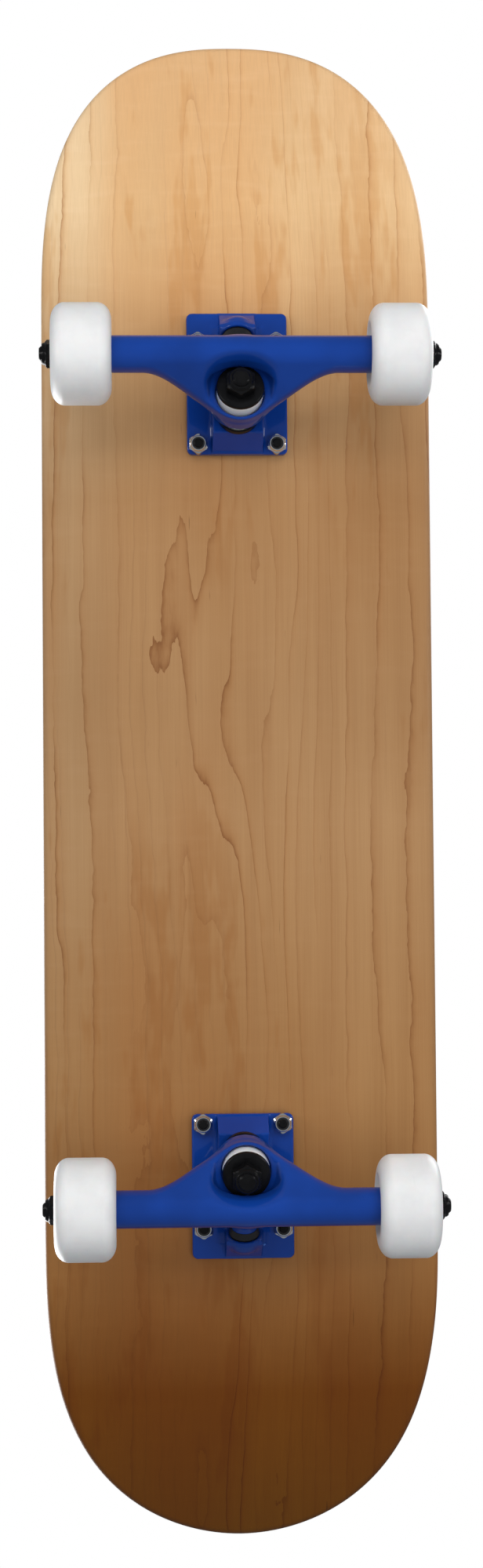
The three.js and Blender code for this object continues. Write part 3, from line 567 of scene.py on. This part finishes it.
def board_layer(name, low, high, inset, edge_radius, materials, rows=22, count=260):
    """A sheet between two heights over the underside. Its rows shrink from the outline towards a spine."""
    right_x, right_y = half_outline(count)
    x = np.concatenate([right_x, -right_x[-2:0:-1]])
    y = np.concatenate([right_y, right_y[-2:0:-1]])
    reach = DECK_WIDTH * 0.42
    spine_y = np.clip(y, BOARD_LOW[1] + reach, BOARD_HIGH[1] - reach)
    length = np.hypot(x, spine_y - y)

    def row(share, edge_inset, height):
        f = np.maximum(share, (inset + edge_inset) / length)
        return board_point(x * (1 - f), y + (spine_y - y) * f, height)

    shares = np.linspace(1, 0.06, rows)
    turn = np.linspace(0, math.pi / 2, 8)
    edge = [(edge_radius * (1 - math.sin(a)), edge_radius * (1 - math.cos(a))) for a in turn]
    layers = [(share, 0, low) for share in shares]
    layers += [(0, edge_inset, low + rise) for edge_inset, rise in edge]
    layers += [(0, edge_inset, high - rise) for edge_inset, rise in reversed(edge)]
    layers += [(share, 0, high) for share in reversed(shares)]
    points = np.concatenate([row(*layer) for layer in layers])
    total = len(x)
    faces = []
    for r in range(len(layers) - 1):
        for i in range(total):
            j = (i + 1) % total
            faces.append((r * total + i, r * total + j, (r + 1) * total + j, (r + 1) * total + i))
    made = make_object(name, points, faces, materials, sharp=50)
    depth = np.repeat([(height - low) / (high - low) for _, _, height in layers], total)
    made.data.attributes.new("depth", "FLOAT", "POINT")
    made.data.attributes["depth"].data.foreach_set("value", depth[: len(made.data.vertices)])
    return made


deck = board_layer("deck_board", 0, DECK_THICKNESS, 0, DECK_EDGE_RADIUS, MAPLE)
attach(deck, "board")
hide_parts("deck")

GRIP_LOW = DECK_THICKNESS + GRIP_LIFT
GRIP_EDGE_RADIUS = 0.2
grip = board_layer("grip_sheet", GRIP_LOW, GRIP_LOW + GRIP_THICKNESS, GRIP_INSET, GRIP_EDGE_RADIUS, GRIP)
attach(grip, "board")
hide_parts("grip_tape")

# ---- Trucks ----


class Truck:
    """Where one truck lies. Its axes are X across, Y outwards and Z up, from the middle of its bolts."""

    def __init__(self, name, turn):
        self.name = name
        corners = [f"{row}_{side}" for row in ("outer", "inner") for side in ("left", "right")]
        bolts = [centre_mm(f"{name}_{place}_nut") for place in corners]
        middle = np.mean(bolts, axis=0)
        self.matrix = Matrix.Translation((0, middle[1], UNDERSIDE)) @ Matrix.Rotation(turn, 4, "Z")
        self.bolt_x = abs(bolts[0][0])
        self.bolt_y = abs(bolts[0][1] - bolts[2][1]) / 2
        steer = JOINTS[f"{name}_truck_steer"]
        spin = JOINTS[f"{name}_left_wheel_spin"]
        inward = self.matrix.inverted()
        self.ring = inward @ (Vector(steer["pos_m"]) / MM)
        self.pivot = (inward.to_3x3() @ Vector(steer["axis"])).normalized()
        self.axle = inward @ (Vector(spin["pos_m"]) / MM)
        self.up_kingpin = Vector((0, -math.sin(KINGPIN_LEAN), math.cos(KINGPIN_LEAN)))
        self.mouth = self.ring + self.pivot * PIVOT_MOUTH
        self.half_width = box_mm(f"{name}_hanger")[1][0]
        self.plate = [np.array(inward @ Vector(corner_point)) for corner_point in box_mm(f"{name}_baseplate")]

    def on_kingpin(self):
        turn = Vector((0, 0, 1)).rotation_difference(self.up_kingpin).to_matrix().to_4x4()
        return self.matrix @ Matrix.Translation(self.ring) @ turn

    def on_pivot(self):
        turn = Vector((0, 0, 1)).rotation_difference(self.pivot).to_matrix().to_4x4()
        return self.matrix @ Matrix.Translation(self.mouth) @ turn


def hanger_field(truck):
    ring, axle, up, pivot, mouth = truck.ring, truck.axle, truck.up_kingpin, truck.pivot, truck.mouth
    half_width = truck.half_width

    def distance(p):
        x = np.abs(p[0])
        # The arms: a straight outer edge, with a web that runs from the axle to the ring.
        t = np.clip((50 - x) / 46, 0, 1)
        run = t * t * (3 - 2 * t)
        end_y = axle.y + (ring.y - axle.y) * run
        end_z = axle.z + (ring.z - axle.z) * run
        along_y, along_z = end_y - axle.y, end_z - axle.z
        square = along_y**2 + along_z**2 + 1e-6
        share = np.clip(((p[1] - axle.y) * along_y + (p[2] - axle.z) * along_z) / square, 0, 1)
        web_radius = ARM_RADIUS + (WEB_END_RADIUS - ARM_RADIUS) * run
        radius = ARM_RADIUS + (web_radius - ARM_RADIUS) * share
        arms = np.hypot(p[1] - axle.y - along_y * share, p[2] - axle.z - along_z * share) - radius
        arms = corner(arms * 0.93, x - half_width, 0.8)
        height, out = along(p, ring, up)
        low_end, high_end = -RING_HEIGHT / 2, 7.0
        wall = RING_RADIUS - (height - low_end) * 0.1
        rounding = np.where(height < 0, 2.0, 1.0)
        past_end = np.abs(height - (low_end + high_end) / 2) - (high_end - low_end) / 2
        bowl = corner(out - wall, past_end, rounding)
        body = soft_min(arms, bowl, 7)
        # The pivot's arm, from the web out to the nose.
        length, away = along(p, mouth, pivot)
        nose_radius = np.interp(length, [-22, -13, 0, 5, 8], [13, 8.4, PIVOT_NOSE_RADIUS, 5.4, 3.6])
        nose = corner(away - nose_radius, np.abs(length + 7) - 15, 2.0) * 0.9
        neck = rod(p, mouth - pivot * 16, (axle - (mouth - pivot * 16)).normalized(), -2, 30, 8.2, 3)
        body = soft_min(body, soft_min(nose, neck, 5), 7)
        # The pocket for the kingpin's nut, and the two seats of the bushings.
        depth = -height
        outward = p[1] * math.cos(KINGPIN_LEAN) + p[2] * math.sin(KINGPIN_LEAN)
        outward -= ring.y * math.cos(KINGPIN_LEAN) + ring.z * math.sin(KINGPIN_LEAN)
        flare = np.interp(depth, [0, 7.4, 9.0, 16, 26, 42], [12.6, 12.8, 15.6, 17.2, 17.9, 20])
        squeeze = np.interp(depth, [12, 15.4, 17.4, 25, 33, 42], [1.0, 1.17, 1.85, 2.0, 1.8, 1.55])
        bent = np.hypot(p[0], np.where(outward > 0, outward * squeeze, outward))
        pocket = soft_max(bent - flare, RING_WEB / 2 - depth, 0.8)
        body = soft_max(body, -pocket, 3.6)
        board_flare = np.interp(height, [0, 8.3, 18.5, 28], [12.6, 12.7, 17.2, 21.6])
        board_side = soft_max(out - board_flare, RING_WEB / 2 - height, 0.8)
        body = soft_max(body, -board_side, 1.2)
        return soft_max(body, 6.5 - out, 0.6)

    low = (-half_width - 2, ring.y - 20, axle.z - 12)
    high = (half_width + 2, mouth.y + 10, mouth.z + 8)
    return field_mesh(low, high, 0.7, distance)


def baseplate_field(truck):
    ring, up, pivot, mouth = truck.ring, truck.up_kingpin, truck.pivot, truck.mouth
    ends = sorted(corner_point[1] for corner_point in truck.plate)
    half = abs(truck.plate[0][0])
    top = PLATE_TOP
    thickness = PLATE_THICKNESS

    def distance(p):
        x = np.abs(p[0])
        outline = corner(x - half, np.abs(p[1] - sum(ends) / 2) - (ends[1] - ends[0]) / 2, 3)
        flange = corner(outline, np.abs(p[2] - top + thickness / 2) - thickness / 2, 0.9)
        depth = top - p[2]
        # The raised middle, a little narrower on its face than at its root.
        side = x - np.interp(depth, [thickness, 8.5], [BLOCK_HALF_WIDTH, 10.2])
        reach = np.maximum(ends[0] - p[1], p[1] - ends[1] + 8)
        # Its face ramps up from the inner edge, and steps down past the middle.
        face = np.interp(p[1], [ends[0], ends[0] + 16], [thickness, 9.2])
        face = np.minimum(face, np.where(p[1] < 0, 9.2, 8.2))
        middle = corner(np.maximum(side, reach), depth - face, 0.9)
        body = soft_min(flange, middle, 1.6)
        # The kingpin's seat, and the wedge that carries it.
        seat = rod(p, ring, up, BOARD_SEAT, 34, 13.3, 1.0)
        below_seat = -up.y * (p[1] - ring.y) - up.z * (p[2] - ring.z) + BOARD_SEAT
        wedge = corner(x - BLOCK_HALF_WIDTH, np.maximum(below_seat, -p[2] - 24), 1.0)
        wedge = np.maximum(wedge, np.maximum(ends[0] + 0.2 - p[1], p[1] - ring.y - 4))
        slope = (depth - thickness - (p[1] - ends[0]) * 1.5) * 0.55
        body = soft_min(body, np.maximum(soft_min(seat, wedge, 1.0), slope), 2.0)
        # The pivot's boss, with a ramp down to the outer edge.
        length, out = along(p, mouth, pivot)
        boss = corner(out - PIVOT_BOSS_RADIUS, np.abs(length - 1.5) - 1.5, 1.0)
        dome = np.sqrt(sum((p[i] - (mouth + pivot * 2)[i]) ** 2 for i in range(3))) - PIVOT_BOSS_RADIUS
        dome = np.maximum(dome, -length)
        slope = (ends[1] - 0.6 - p[1]) * 1.55 + thickness
        ramp = np.maximum.reduce([x - PIVOT_BOSS_RADIUS, (depth - slope) * 0.55, -length + 1.0, depth - 17.5])
        body = soft_min(body, soft_min(soft_min(boss, dome, 1.0), ramp, 1.5), 1.8)
        body = np.maximum.reduce([body, p[2] - top, outline])
        body = soft_max(body, -rod(p, mouth, pivot, -10, 9.7, 7.5, 4.5), 0.8)
        for bolt_y in (-truck.bolt_y, truck.bolt_y):
            hole = np.hypot(x - truck.bolt_x, p[1] - bolt_y) - (BOLT_RADIUS + 0.3)
            body = soft_max(body, -hole, 0.4)
        bore_length, bore_out = along(p, ring, up)
        return np.maximum(body, -np.maximum(bore_out - KINGPIN_BORE, 10 - bore_length))

    low = (-half - 1.5, ends[0] - 1.5, -24)
    high = (half + 1.5, ends[1] + 1.5, 1.5)
    return field_mesh(low, high, 0.5, distance)


def add_piece(made, body, *nodes):
    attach(made, body)
    if nodes:
        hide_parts(*nodes)
    return made


def add_bushing(truck, name, span, hanger_end, waist, matrix):
    low, high = span
    hugged = low if hanger_end == high else high
    toward = 1 if hugged == low else -1
    profile = [
        (5.2, hanger_end),
        (12.0, hanger_end),
        (12.0, hanger_end - toward * 2.8),
        (waist, hanger_end - toward * 4.6),
        (waist, hugged + toward * 2.4),
        (min(waist, 11.3), hugged + toward * 1.2),
        (min(waist, 11.3), hugged),
        (5.2, hugged),
    ]
    if toward > 0:
        profile.reverse()
    line = fillet(profile + [profile[0]], 0.7)[:-1]
    made = turned_object(f"{truck.name}_{name}_ring", line, WHITE, matrix, closed=True)
    start, end = (matrix @ Vector((0, 0, height)) * MM for height in (hugged, hanger_end))
    tuple(start)
    tuple(end)
    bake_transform(made)
    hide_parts(f"{truck.name}_{name}")


def cup_washer(name, flat, toward, lip, rim, matrix, body, node):
    """A pressed washer with its flat side at one height and a rolled lip towards the bushing."""
    profile = [
        (KINGPIN_BORE, flat),
        (rim - 2.2, flat),
        (rim - 0.3, flat + toward * 0.7),
        (rim, flat + toward * lip),
        (rim - 0.9, flat + toward * lip),
        (rim - 1.1, flat + toward * 1.5),
        (KINGPIN_BORE, flat + toward * 1.3),
    ]
    if toward < 0:
        profile.reverse()
    line = fillet(profile + [profile[0]], 0.6)[:-1]
    add_piece(turned_object(name, line, BLACK_STEEL, matrix, closed=True), body, node)


def nut_profile(bore, flats, height, collar):
    """A nut that stands on height 0, with a round collar that holds its insert."""
    rows = [(bore, 0.0), (flats * 0.47, 0.0)]
    rows += [(flats, h) for h in np.linspace(0.02, height, 14)]
    top = height + collar
    rows += [(flats * 0.45, height + 0.25), (flats * 0.44, height + collar * 0.6), (flats * 0.40, top)]
    rows += [(flats * 0.35, top), (flats * 0.345, height + collar * 0.75), (bore, height + collar * 0.7)]
    return rows


def add_nut(name, bore, flats, height, collar, steel, matrix, body, node):
    rows = nut_profile(bore, flats, height, collar)
    hexed = hexagon(flats, (0.0, height))

    def shape(radius, at, angle):
        return np.where(at <= height, hexed(radius, at, angle), radius)

    def bands(radius, at):
        return 1 if at > height + collar * 0.65 and radius < flats * 0.35 else 0

    made = turned_object(name, rows, [steel, NYLON], matrix, 120, shape, closed=True, bands=bands, sharp=30)
    add_piece(made, body, node)


def recessed_head(name, matrix, node):
    """A countersunk bolt with a cross recess, standing on its own axis with its head's face at BOLT_TOP."""
    neck = BOLT_TOP - 2.8
    face = BOLT_TOP
    end = BOLT_END

    def distance(p):
        out = np.hypot(p[0], p[1])
        cone = np.interp(p[2], [neck, face - 0.3, face], [BOLT_RADIUS, 4.75, 4.6])
        head = np.maximum(out - cone, p[2] - face)
        shaft = out - BOLT_RADIUS
        body = np.maximum(np.where(p[2] > neck, head, shaft), neck - 2 - p[2])
        taper = np.interp(p[2], [face - 2.2, face], [0.15, 0.62])
        for a, b in ((0, 1), (1, 0)):
            reach = np.interp(p[2], [face - 2.2, face], [0.6, 2.5])
            wing = np.maximum(np.abs(p[a]) - taper, np.abs(p[b]) - reach)
            body = np.maximum(body, -np.maximum(wing, face - 2.2 - p[2]))
        return body

    points, quads = field_mesh((-5.2, -5.2, neck - 2.4), (5.2, 5.2, face + 0.6), 0.13, distance)
    head = make_object(f"{name}_head", points, quads, BLACK_STEEL, matrix, sharp=40)
    heights = np.concatenate([np.arange(end + 0.5, end + 9, 0.13), [neck - 1.8]])
    rows = [(0.01, end), (1.9, end), (2.35, end + 0.45)]
    rows += [(BOLT_RADIUS, h) for h in heights] + [(0.01, neck - 1.8)]
    threaded = thread(BOLT_PITCH, end + 0.4, end + 8.9, 0.4)
    shaft = turned_object(f"{name}_shaft", rows, BLACK_STEEL, matrix, 40, threaded)
    shaft.parent = head
    add_piece(head, "board", node)


def add_truck(truck):
    name, hanger_body = truck.name, f"{truck.name}_hanger_assembly"
    points, quads = baseplate_field(truck)
    plate = make_object(f"{name}_plate_casting", points, quads, PAINT, truck.matrix, sharp=0)
    add_piece(plate, "board", f"{name}_baseplate")
    points, quads = hanger_field(truck)
    hanger = make_object(f"{name}_hanger_casting", points, quads, PAINT, truck.matrix, sharp=0)
    add_piece(hanger, hanger_body, f"{name}_hanger")

    kingpin = truck.on_kingpin()
    add_bushing(truck, "board_side_bushing", BOARD_BUSHING, BOARD_BUSHING[0], 9.6, kingpin)
    add_bushing(truck, "road_side_bushing", ROAD_BUSHING, ROAD_BUSHING[1], 12.1, kingpin)
    washers = (("board", BOARD_WASHER, -1, 4.6, 11.4), ("road", ROAD_WASHER, 1, 2.8, 12.4))
    for side, flat, toward, lip, rim in washers:
        node = f"{name}_{side}_side_washer"
        cup_washer(f"{name}_{side}_cup_washer", flat, toward, lip, rim, kingpin, "board", node)
    turn_over = kingpin @ Matrix.Translation((0, 0, KINGPIN_NUT)) @ Matrix.Rotation(math.pi, 4, "X")
    node = f"{name}_kingpin_nut"
    add_nut(f"{name}_kingpin_locknut", 4.6, 14.3, 6.2, 1.9, BLACK_STEEL, turn_over, "board", node)
    end = KINGPIN_END
    heights = np.arange(end + 1.0, end + 12, 0.17)
    rows = [(0.01, end), (3.6, end), (4.2, end + 0.35)] + [(KINGPIN_RADIUS, h) for h in heights]
    rows += [(KINGPIN_RADIUS, 27), (8, 27), (8, 32.2), (0.01, 32.4)]
    threaded = thread(PIN_PITCH, end + 0.4, end + 11.9, 0.5)
    pin = turned_object(f"{name}_kingpin_bolt", rows, BLACK_STEEL, kingpin, 72, threaded)
    add_piece(pin, "board", f"{name}_kingpin")

    cup = [(6.2, 0), (5.9, 4), (3.9, 7.3), (0.01, 8.3), (0.01, 9.4), (4.9, 8.5), (7.1, 4.6), (7.4, 0)]
    cup = [(7.4, -0.2), (7.9, -0.7), (7.5, -2.6), (6.9, -4.2), (6.3, -4.2), (6.3, -0.6)] + fillet(cup, 0.6)
    liner = turned_object(f"{name}_cup_liner", cup[::-1], BLACK_RUBBER, truck.on_pivot())
    add_piece(liner, "board", f"{name}_pivot_cup")

    across = truck.matrix @ Matrix.Translation(truck.axle) @ Matrix.Rotation(math.pi / 2, 4, "Y")
    half = box_mm(f"{name}_axle")[1][0]
    heights = np.arange(half - 13, half - 0.9, 0.17)
    right = [(AXLE_RADIUS, h) for h in heights] + [(3.3, half - 0.3), (2.9, half), (0.01, half)]
    left = [(radius, -height) for radius, height in reversed(right)]
    ends = thread(PIN_PITCH, half - 12.9, half - 0.6, 0.42)

    def shape(radius, height, angle):
        return ends(radius, np.abs(height), angle * np.sign(height))

    bar = turned_object(f"{name}_axle_bar", left + right, BLACK_STEEL, across, 72, shape)
    add_piece(bar, hanger_body, f"{name}_axle")


def add_wheel(truck, side):
    name = f"{truck.name}_{side}"
    hanger_body, wheel_body = f"{truck.name}_hanger_assembly", f"{name}_wheel_assembly"
    low, high = box_mm(f"{name}_wheel")
    middle = (low + high) / 2
    out = 1 if middle[0] > 0 else -1
    matrix = Matrix.Translation(middle) @ Matrix.Rotation(out * math.pi / 2, 4, "Y")
    half = (high[0] - low[0]) / 2
    radius = (high[2] - low[2]) / 2
    face = WHEEL_FACE_RADIUS
    tread = WHEEL_TREAD_HALF
    seat = BEARING_SEAT

    # One side from the bearing's seat to the tread: a dished face, a lip and a long round corner.
    side_line = [(9, 5), (11.05, 5), (11.05, seat), (11.9, seat + 0.5), (12.6, half - 1.9)]
    side_line += [(14.6, half - 1.75), (face - 0.8, half - 0.5), (face, half)]
    side_line = fillet(side_line + [(face + 0.9, half - 0.02)], 0.45)[:-1]
    angles = np.linspace(0, math.pi / 2, 22)[1:]
    outer = list(side_line)
    for a in angles:
        outer.append((face + (radius - face) * math.sin(a), tread + (half - tread) * math.cos(a)))
    inner = [(r, -h) for r, h in outer]
    made = turned_object(f"{name}_wheel_tyre", inner + outer[::-1], WHITE, matrix, 160, closed=True, sharp=40)
    add_piece(made, wheel_body, f"{name}_wheel")

    for place, direction in (("inner", -1), ("outer", 1)):
        start = direction * (seat - BEARING_WIDTH)
        end = direction * seat
        rows = [
            (4.02, start),
            (BEARING_RADIUS, start),
            (BEARING_RADIUS, end),
            (9.6, end),
            (9.5, end - direction * 0.35),
            (6.5, end - direction * 0.45),
            (6.3, end - direction * 0.15),
            (6.1, end),
            (4.02, end),
        ]
        if direction < 0:
            rows.reverse()
        rows = fillet(rows + [rows[0]], 0.3, 3)[:-1]

        def bands(ring_radius, height, end=end):
            return 1 if 6.4 < ring_radius < 9.5 and abs(height - end) < 0.6 else 0

        label = f"{name}_{place}_ball_bearing"
        ring = turned_object(label, rows, [ZINC, SHIELD], matrix, 96, closed=True, bands=bands)
        add_piece(ring, wheel_body, f"{name}_{place}_bearing")
    spacer = [(AXLE_BORE, -4.8), (5.2, -4.8), (5.2, 4.8), (AXLE_BORE, 4.8), (AXLE_BORE, -4.8)]
    spacer = fillet(spacer, 0.3)[:-1]
    add_piece(turned_object(f"{name}_bearing_spacer", spacer, ZINC, matrix, 64, closed=True), wheel_body)
    for place, at in (("inner", -12.9), ("outer", 12.1)):
        rows = [(AXLE_BORE, at), (5.6, at), (5.6, at + 0.8), (AXLE_BORE, at + 0.8), (AXLE_BORE, at)]
        rows = fillet(rows, 0.15, 2)[:-1]
        washer = turned_object(f"{name}_{place}_thin_washer", rows, ZINC, matrix, 64, closed=True)
        add_piece(washer, hanger_body, *([f"{name}_speed_washer"] if place == "outer" else []))
    seat_matrix = matrix @ Matrix.Translation((0, 0, 13.0))
    node = f"{name}_axle_nut"
    add_nut(f"{name}_axle_locknut", 3.8, 12.7, 5.2, 1.8, BLACK_STEEL, seat_matrix, hanger_body, node)


for truck in (Truck("front", 0.0), Truck("rear", math.pi)):
    add_truck(truck)
    for side in ("left", "right"):
        add_wheel(truck, side)
        for row in ("outer", "inner"):
            label = f"{truck.name}_{row}_{side}"
            place = centre_mm(f"{label}_nut")
            stand = Matrix.Translation((place[0], place[1], UNDERSIDE))
            recessed_head(f"{label}_screw", stand, f"{label}_bolt")
            nut_top = Matrix.Translation((place[0], place[1], box_mm(f"{label}_nut")[1][2]))
            down = nut_top @ Matrix.Rotation(math.pi, 4, "X")
            add_nut(f"{label}_locknut", 2.2, 9.5, 4.6, 1.4, ZINC, down, "board", f"{label}_nut")

# Holes in the grip tape around the bolts' heads
cutters = []
for truck_name in ("front", "rear"):
    for row in ("outer", "inner"):
        for side in ("left", "right"):
            place = centre_mm(f"{truck_name}_{row}_{side}_bolt")
            rows = [(0.01, -5), (BOLT_HEAD_HOLE, -5), (BOLT_HEAD_HOLE, 5), (0.01, 5)]
            lift = Matrix.Translation((place[0], place[1], UNDERSIDE + 11.5))
            cutters.append(turned_object("cutter", rows, GRIP, lift, 48))
for cutter in cutters:
    modifier = grip.modifiers.new("hole", "BOOLEAN")
    modifier.object = cutter
    modifier.solver = "EXACT"
graph = bpy.context.evaluated_depsgraph_get()
holed = bpy.data.meshes.new_from_object(grip.evaluated_get(graph))
grip.modifiers.clear()
grip.data = holed
for cutter in cutters:
    bpy.data.objects.remove(cutter)

# ---- Floor, lights and camera ----

AMBIENT = 0.26
FLOOR_RADIUS = 6.0
floor_points, floor_faces = turned([(0.001, 0), (FLOOR_RADIUS / MM, 0)], 96)
floor_look = Nodes("studio_floor", Roughness=0.6)
floor_cloud = floor_look.noise(floor_look.place, 3, 0.5, 3)
floor_tone = floor_look.mix(floor_cloud, (0.3, 0.3, 0.3), (0.28, 0.28, 0.285))
floor_look.finish(floor_tone)
floor_x, floor_y, _ = floor_look.split()
squares = [floor_look.math("POWER", side, 2) for side in (floor_x, floor_y)]
from_middle = floor_look.math("SQRT", floor_look.math("ADD", *squares))
# The floor glows, and more so far out, so that it stays evenly pale up to its rim.
glow = floor_look.spread(from_middle, 0.7, 3.5, 0.5, 0.9)
floor_look.shader.inputs["Emission Color"].default_value = (1, 1, 1, 1)
floor_look.put(floor_look.shader.inputs["Emission Strength"], glow)
# The main camera is under the board, so the floor can't be seen from below.
see_through = floor_look.node("ShaderNodeBsdfTransparent")
one_sided = floor_look.node("ShaderNodeMixShader")
floor_look.put(one_sided.inputs[0], floor_look.node("ShaderNodeNewGeometry").outputs["Backfacing"])
floor_look.put(one_sided.inputs[1], floor_look.shader.outputs[0])
floor_look.put(one_sided.inputs[2], see_through.outputs[0])
floor_look.put(floor_look.tree.nodes["Material Output"].inputs["Surface"], one_sided.outputs[0])
floor = make_object("studio_floor", floor_points, [face[::-1] for face in floor_faces], floor_look.material)
floor.visible_shadow = False
floor.visible_diffuse = False
floor.visible_glossy = False

world = bpy.data.worlds.new("studio")
bpy.context.scene.world = world
world.use_nodes = True
tree = world.node_tree
ambient = tree.nodes["Background"]
ambient.inputs[0].default_value = (0.9, 0.95, 1.0, 1)
ambient.inputs[1].default_value = AMBIENT
backdrop = tree.nodes.new("ShaderNodeBackground")
backdrop.inputs[0].default_value = (1, 1, 1, 1)
backdrop.inputs[1].default_value = 1.0
choose = tree.nodes.new("ShaderNodeMixShader")
tree.links.new(tree.nodes.new("ShaderNodeLightPath").outputs["Is Camera Ray"], choose.inputs[0])
tree.links.new(ambient.outputs[0], choose.inputs[1])
tree.links.new(backdrop.outputs[0], choose.inputs[2])
tree.links.new(choose.outputs[0], tree.nodes["World Output"].inputs["Surface"])

AIM = Vector((0, MIDDLE_Y * MM, UNDERSIDE * MM))


def soft_light(name, place, width, height, power, colour=(1, 1, 1), mirrored=True):
    data = bpy.data.lights.new(name, "AREA")
    data.shape = "RECTANGLE"
    data.size = width
    data.size_y = height
    data.energy = power
    data.color = colour
    lamp = bpy.data.objects.new(name, data)
    lamp.location = place
    lamp.rotation_euler = (AIM - Vector(place)).to_track_quat("-Z", "Y").to_euler()
    lamp.visible_camera = False
    lamp.visible_glossy = mirrored
    bpy.context.scene.collection.objects.link(lamp)


soft_light("nose_key", (0.12, 1.02, -1.55), 2.0, 1.0, 23, (1, 0.99, 0.97), mirrored=False)
soft_light("low_fill", (-0.3, -0.5, -2.0), 1.6, 1.6, 20, mirrored=False)
soft_light("left_strip", (1.25, 0.3, -0.5), 0.15, 1.2, 5)
soft_light("right_strip", (-1.25, 0.3, -0.5), 0.15, 1.2, 5)
soft_light("top_key", (0.9, -0.7, 1.7), 1.4, 1.4, 42)
soft_light("top_fill", (-1.1, 0.9, 1.3), 1.2, 1.2, 18)

CAMERA_DISTANCE = 1.401
CAMERA_TO_TAIL = math.radians(2.59)
CAMERA_TO_RIGHT = math.radians(2.49)
CAMERA_ROLL = math.radians(-0.45)
CAMERA_LENS = 61.2
CAMERA_AIM = Vector((-0.001, -0.0042, UNDERSIDE * MM))

back = Vector((math.tan(CAMERA_TO_RIGHT), -math.tan(CAMERA_TO_TAIL), -1)).normalized()
camera_data = bpy.data.cameras.new("camera")
camera_data.lens = CAMERA_LENS
camera_data.sensor_width = 36
camera_data.clip_end = 50
camera = bpy.data.objects.new("camera", camera_data)
bpy.context.scene.collection.objects.link(camera)
camera.location = CAMERA_AIM + back * CAMERA_DISTANCE
upwards = Vector((0, 1, 0))
sideways = upwards.cross(back).normalized()
upright = back.cross(sideways).normalized()
turn = Matrix((sideways, upright, back)).transposed()
camera.rotation_euler = (Matrix.Rotation(CAMERA_ROLL, 3, back) @ turn).to_euler()
bpy.context.scene.camera = camera
bpy.context.scene.view_settings.view_transform = "Standard"
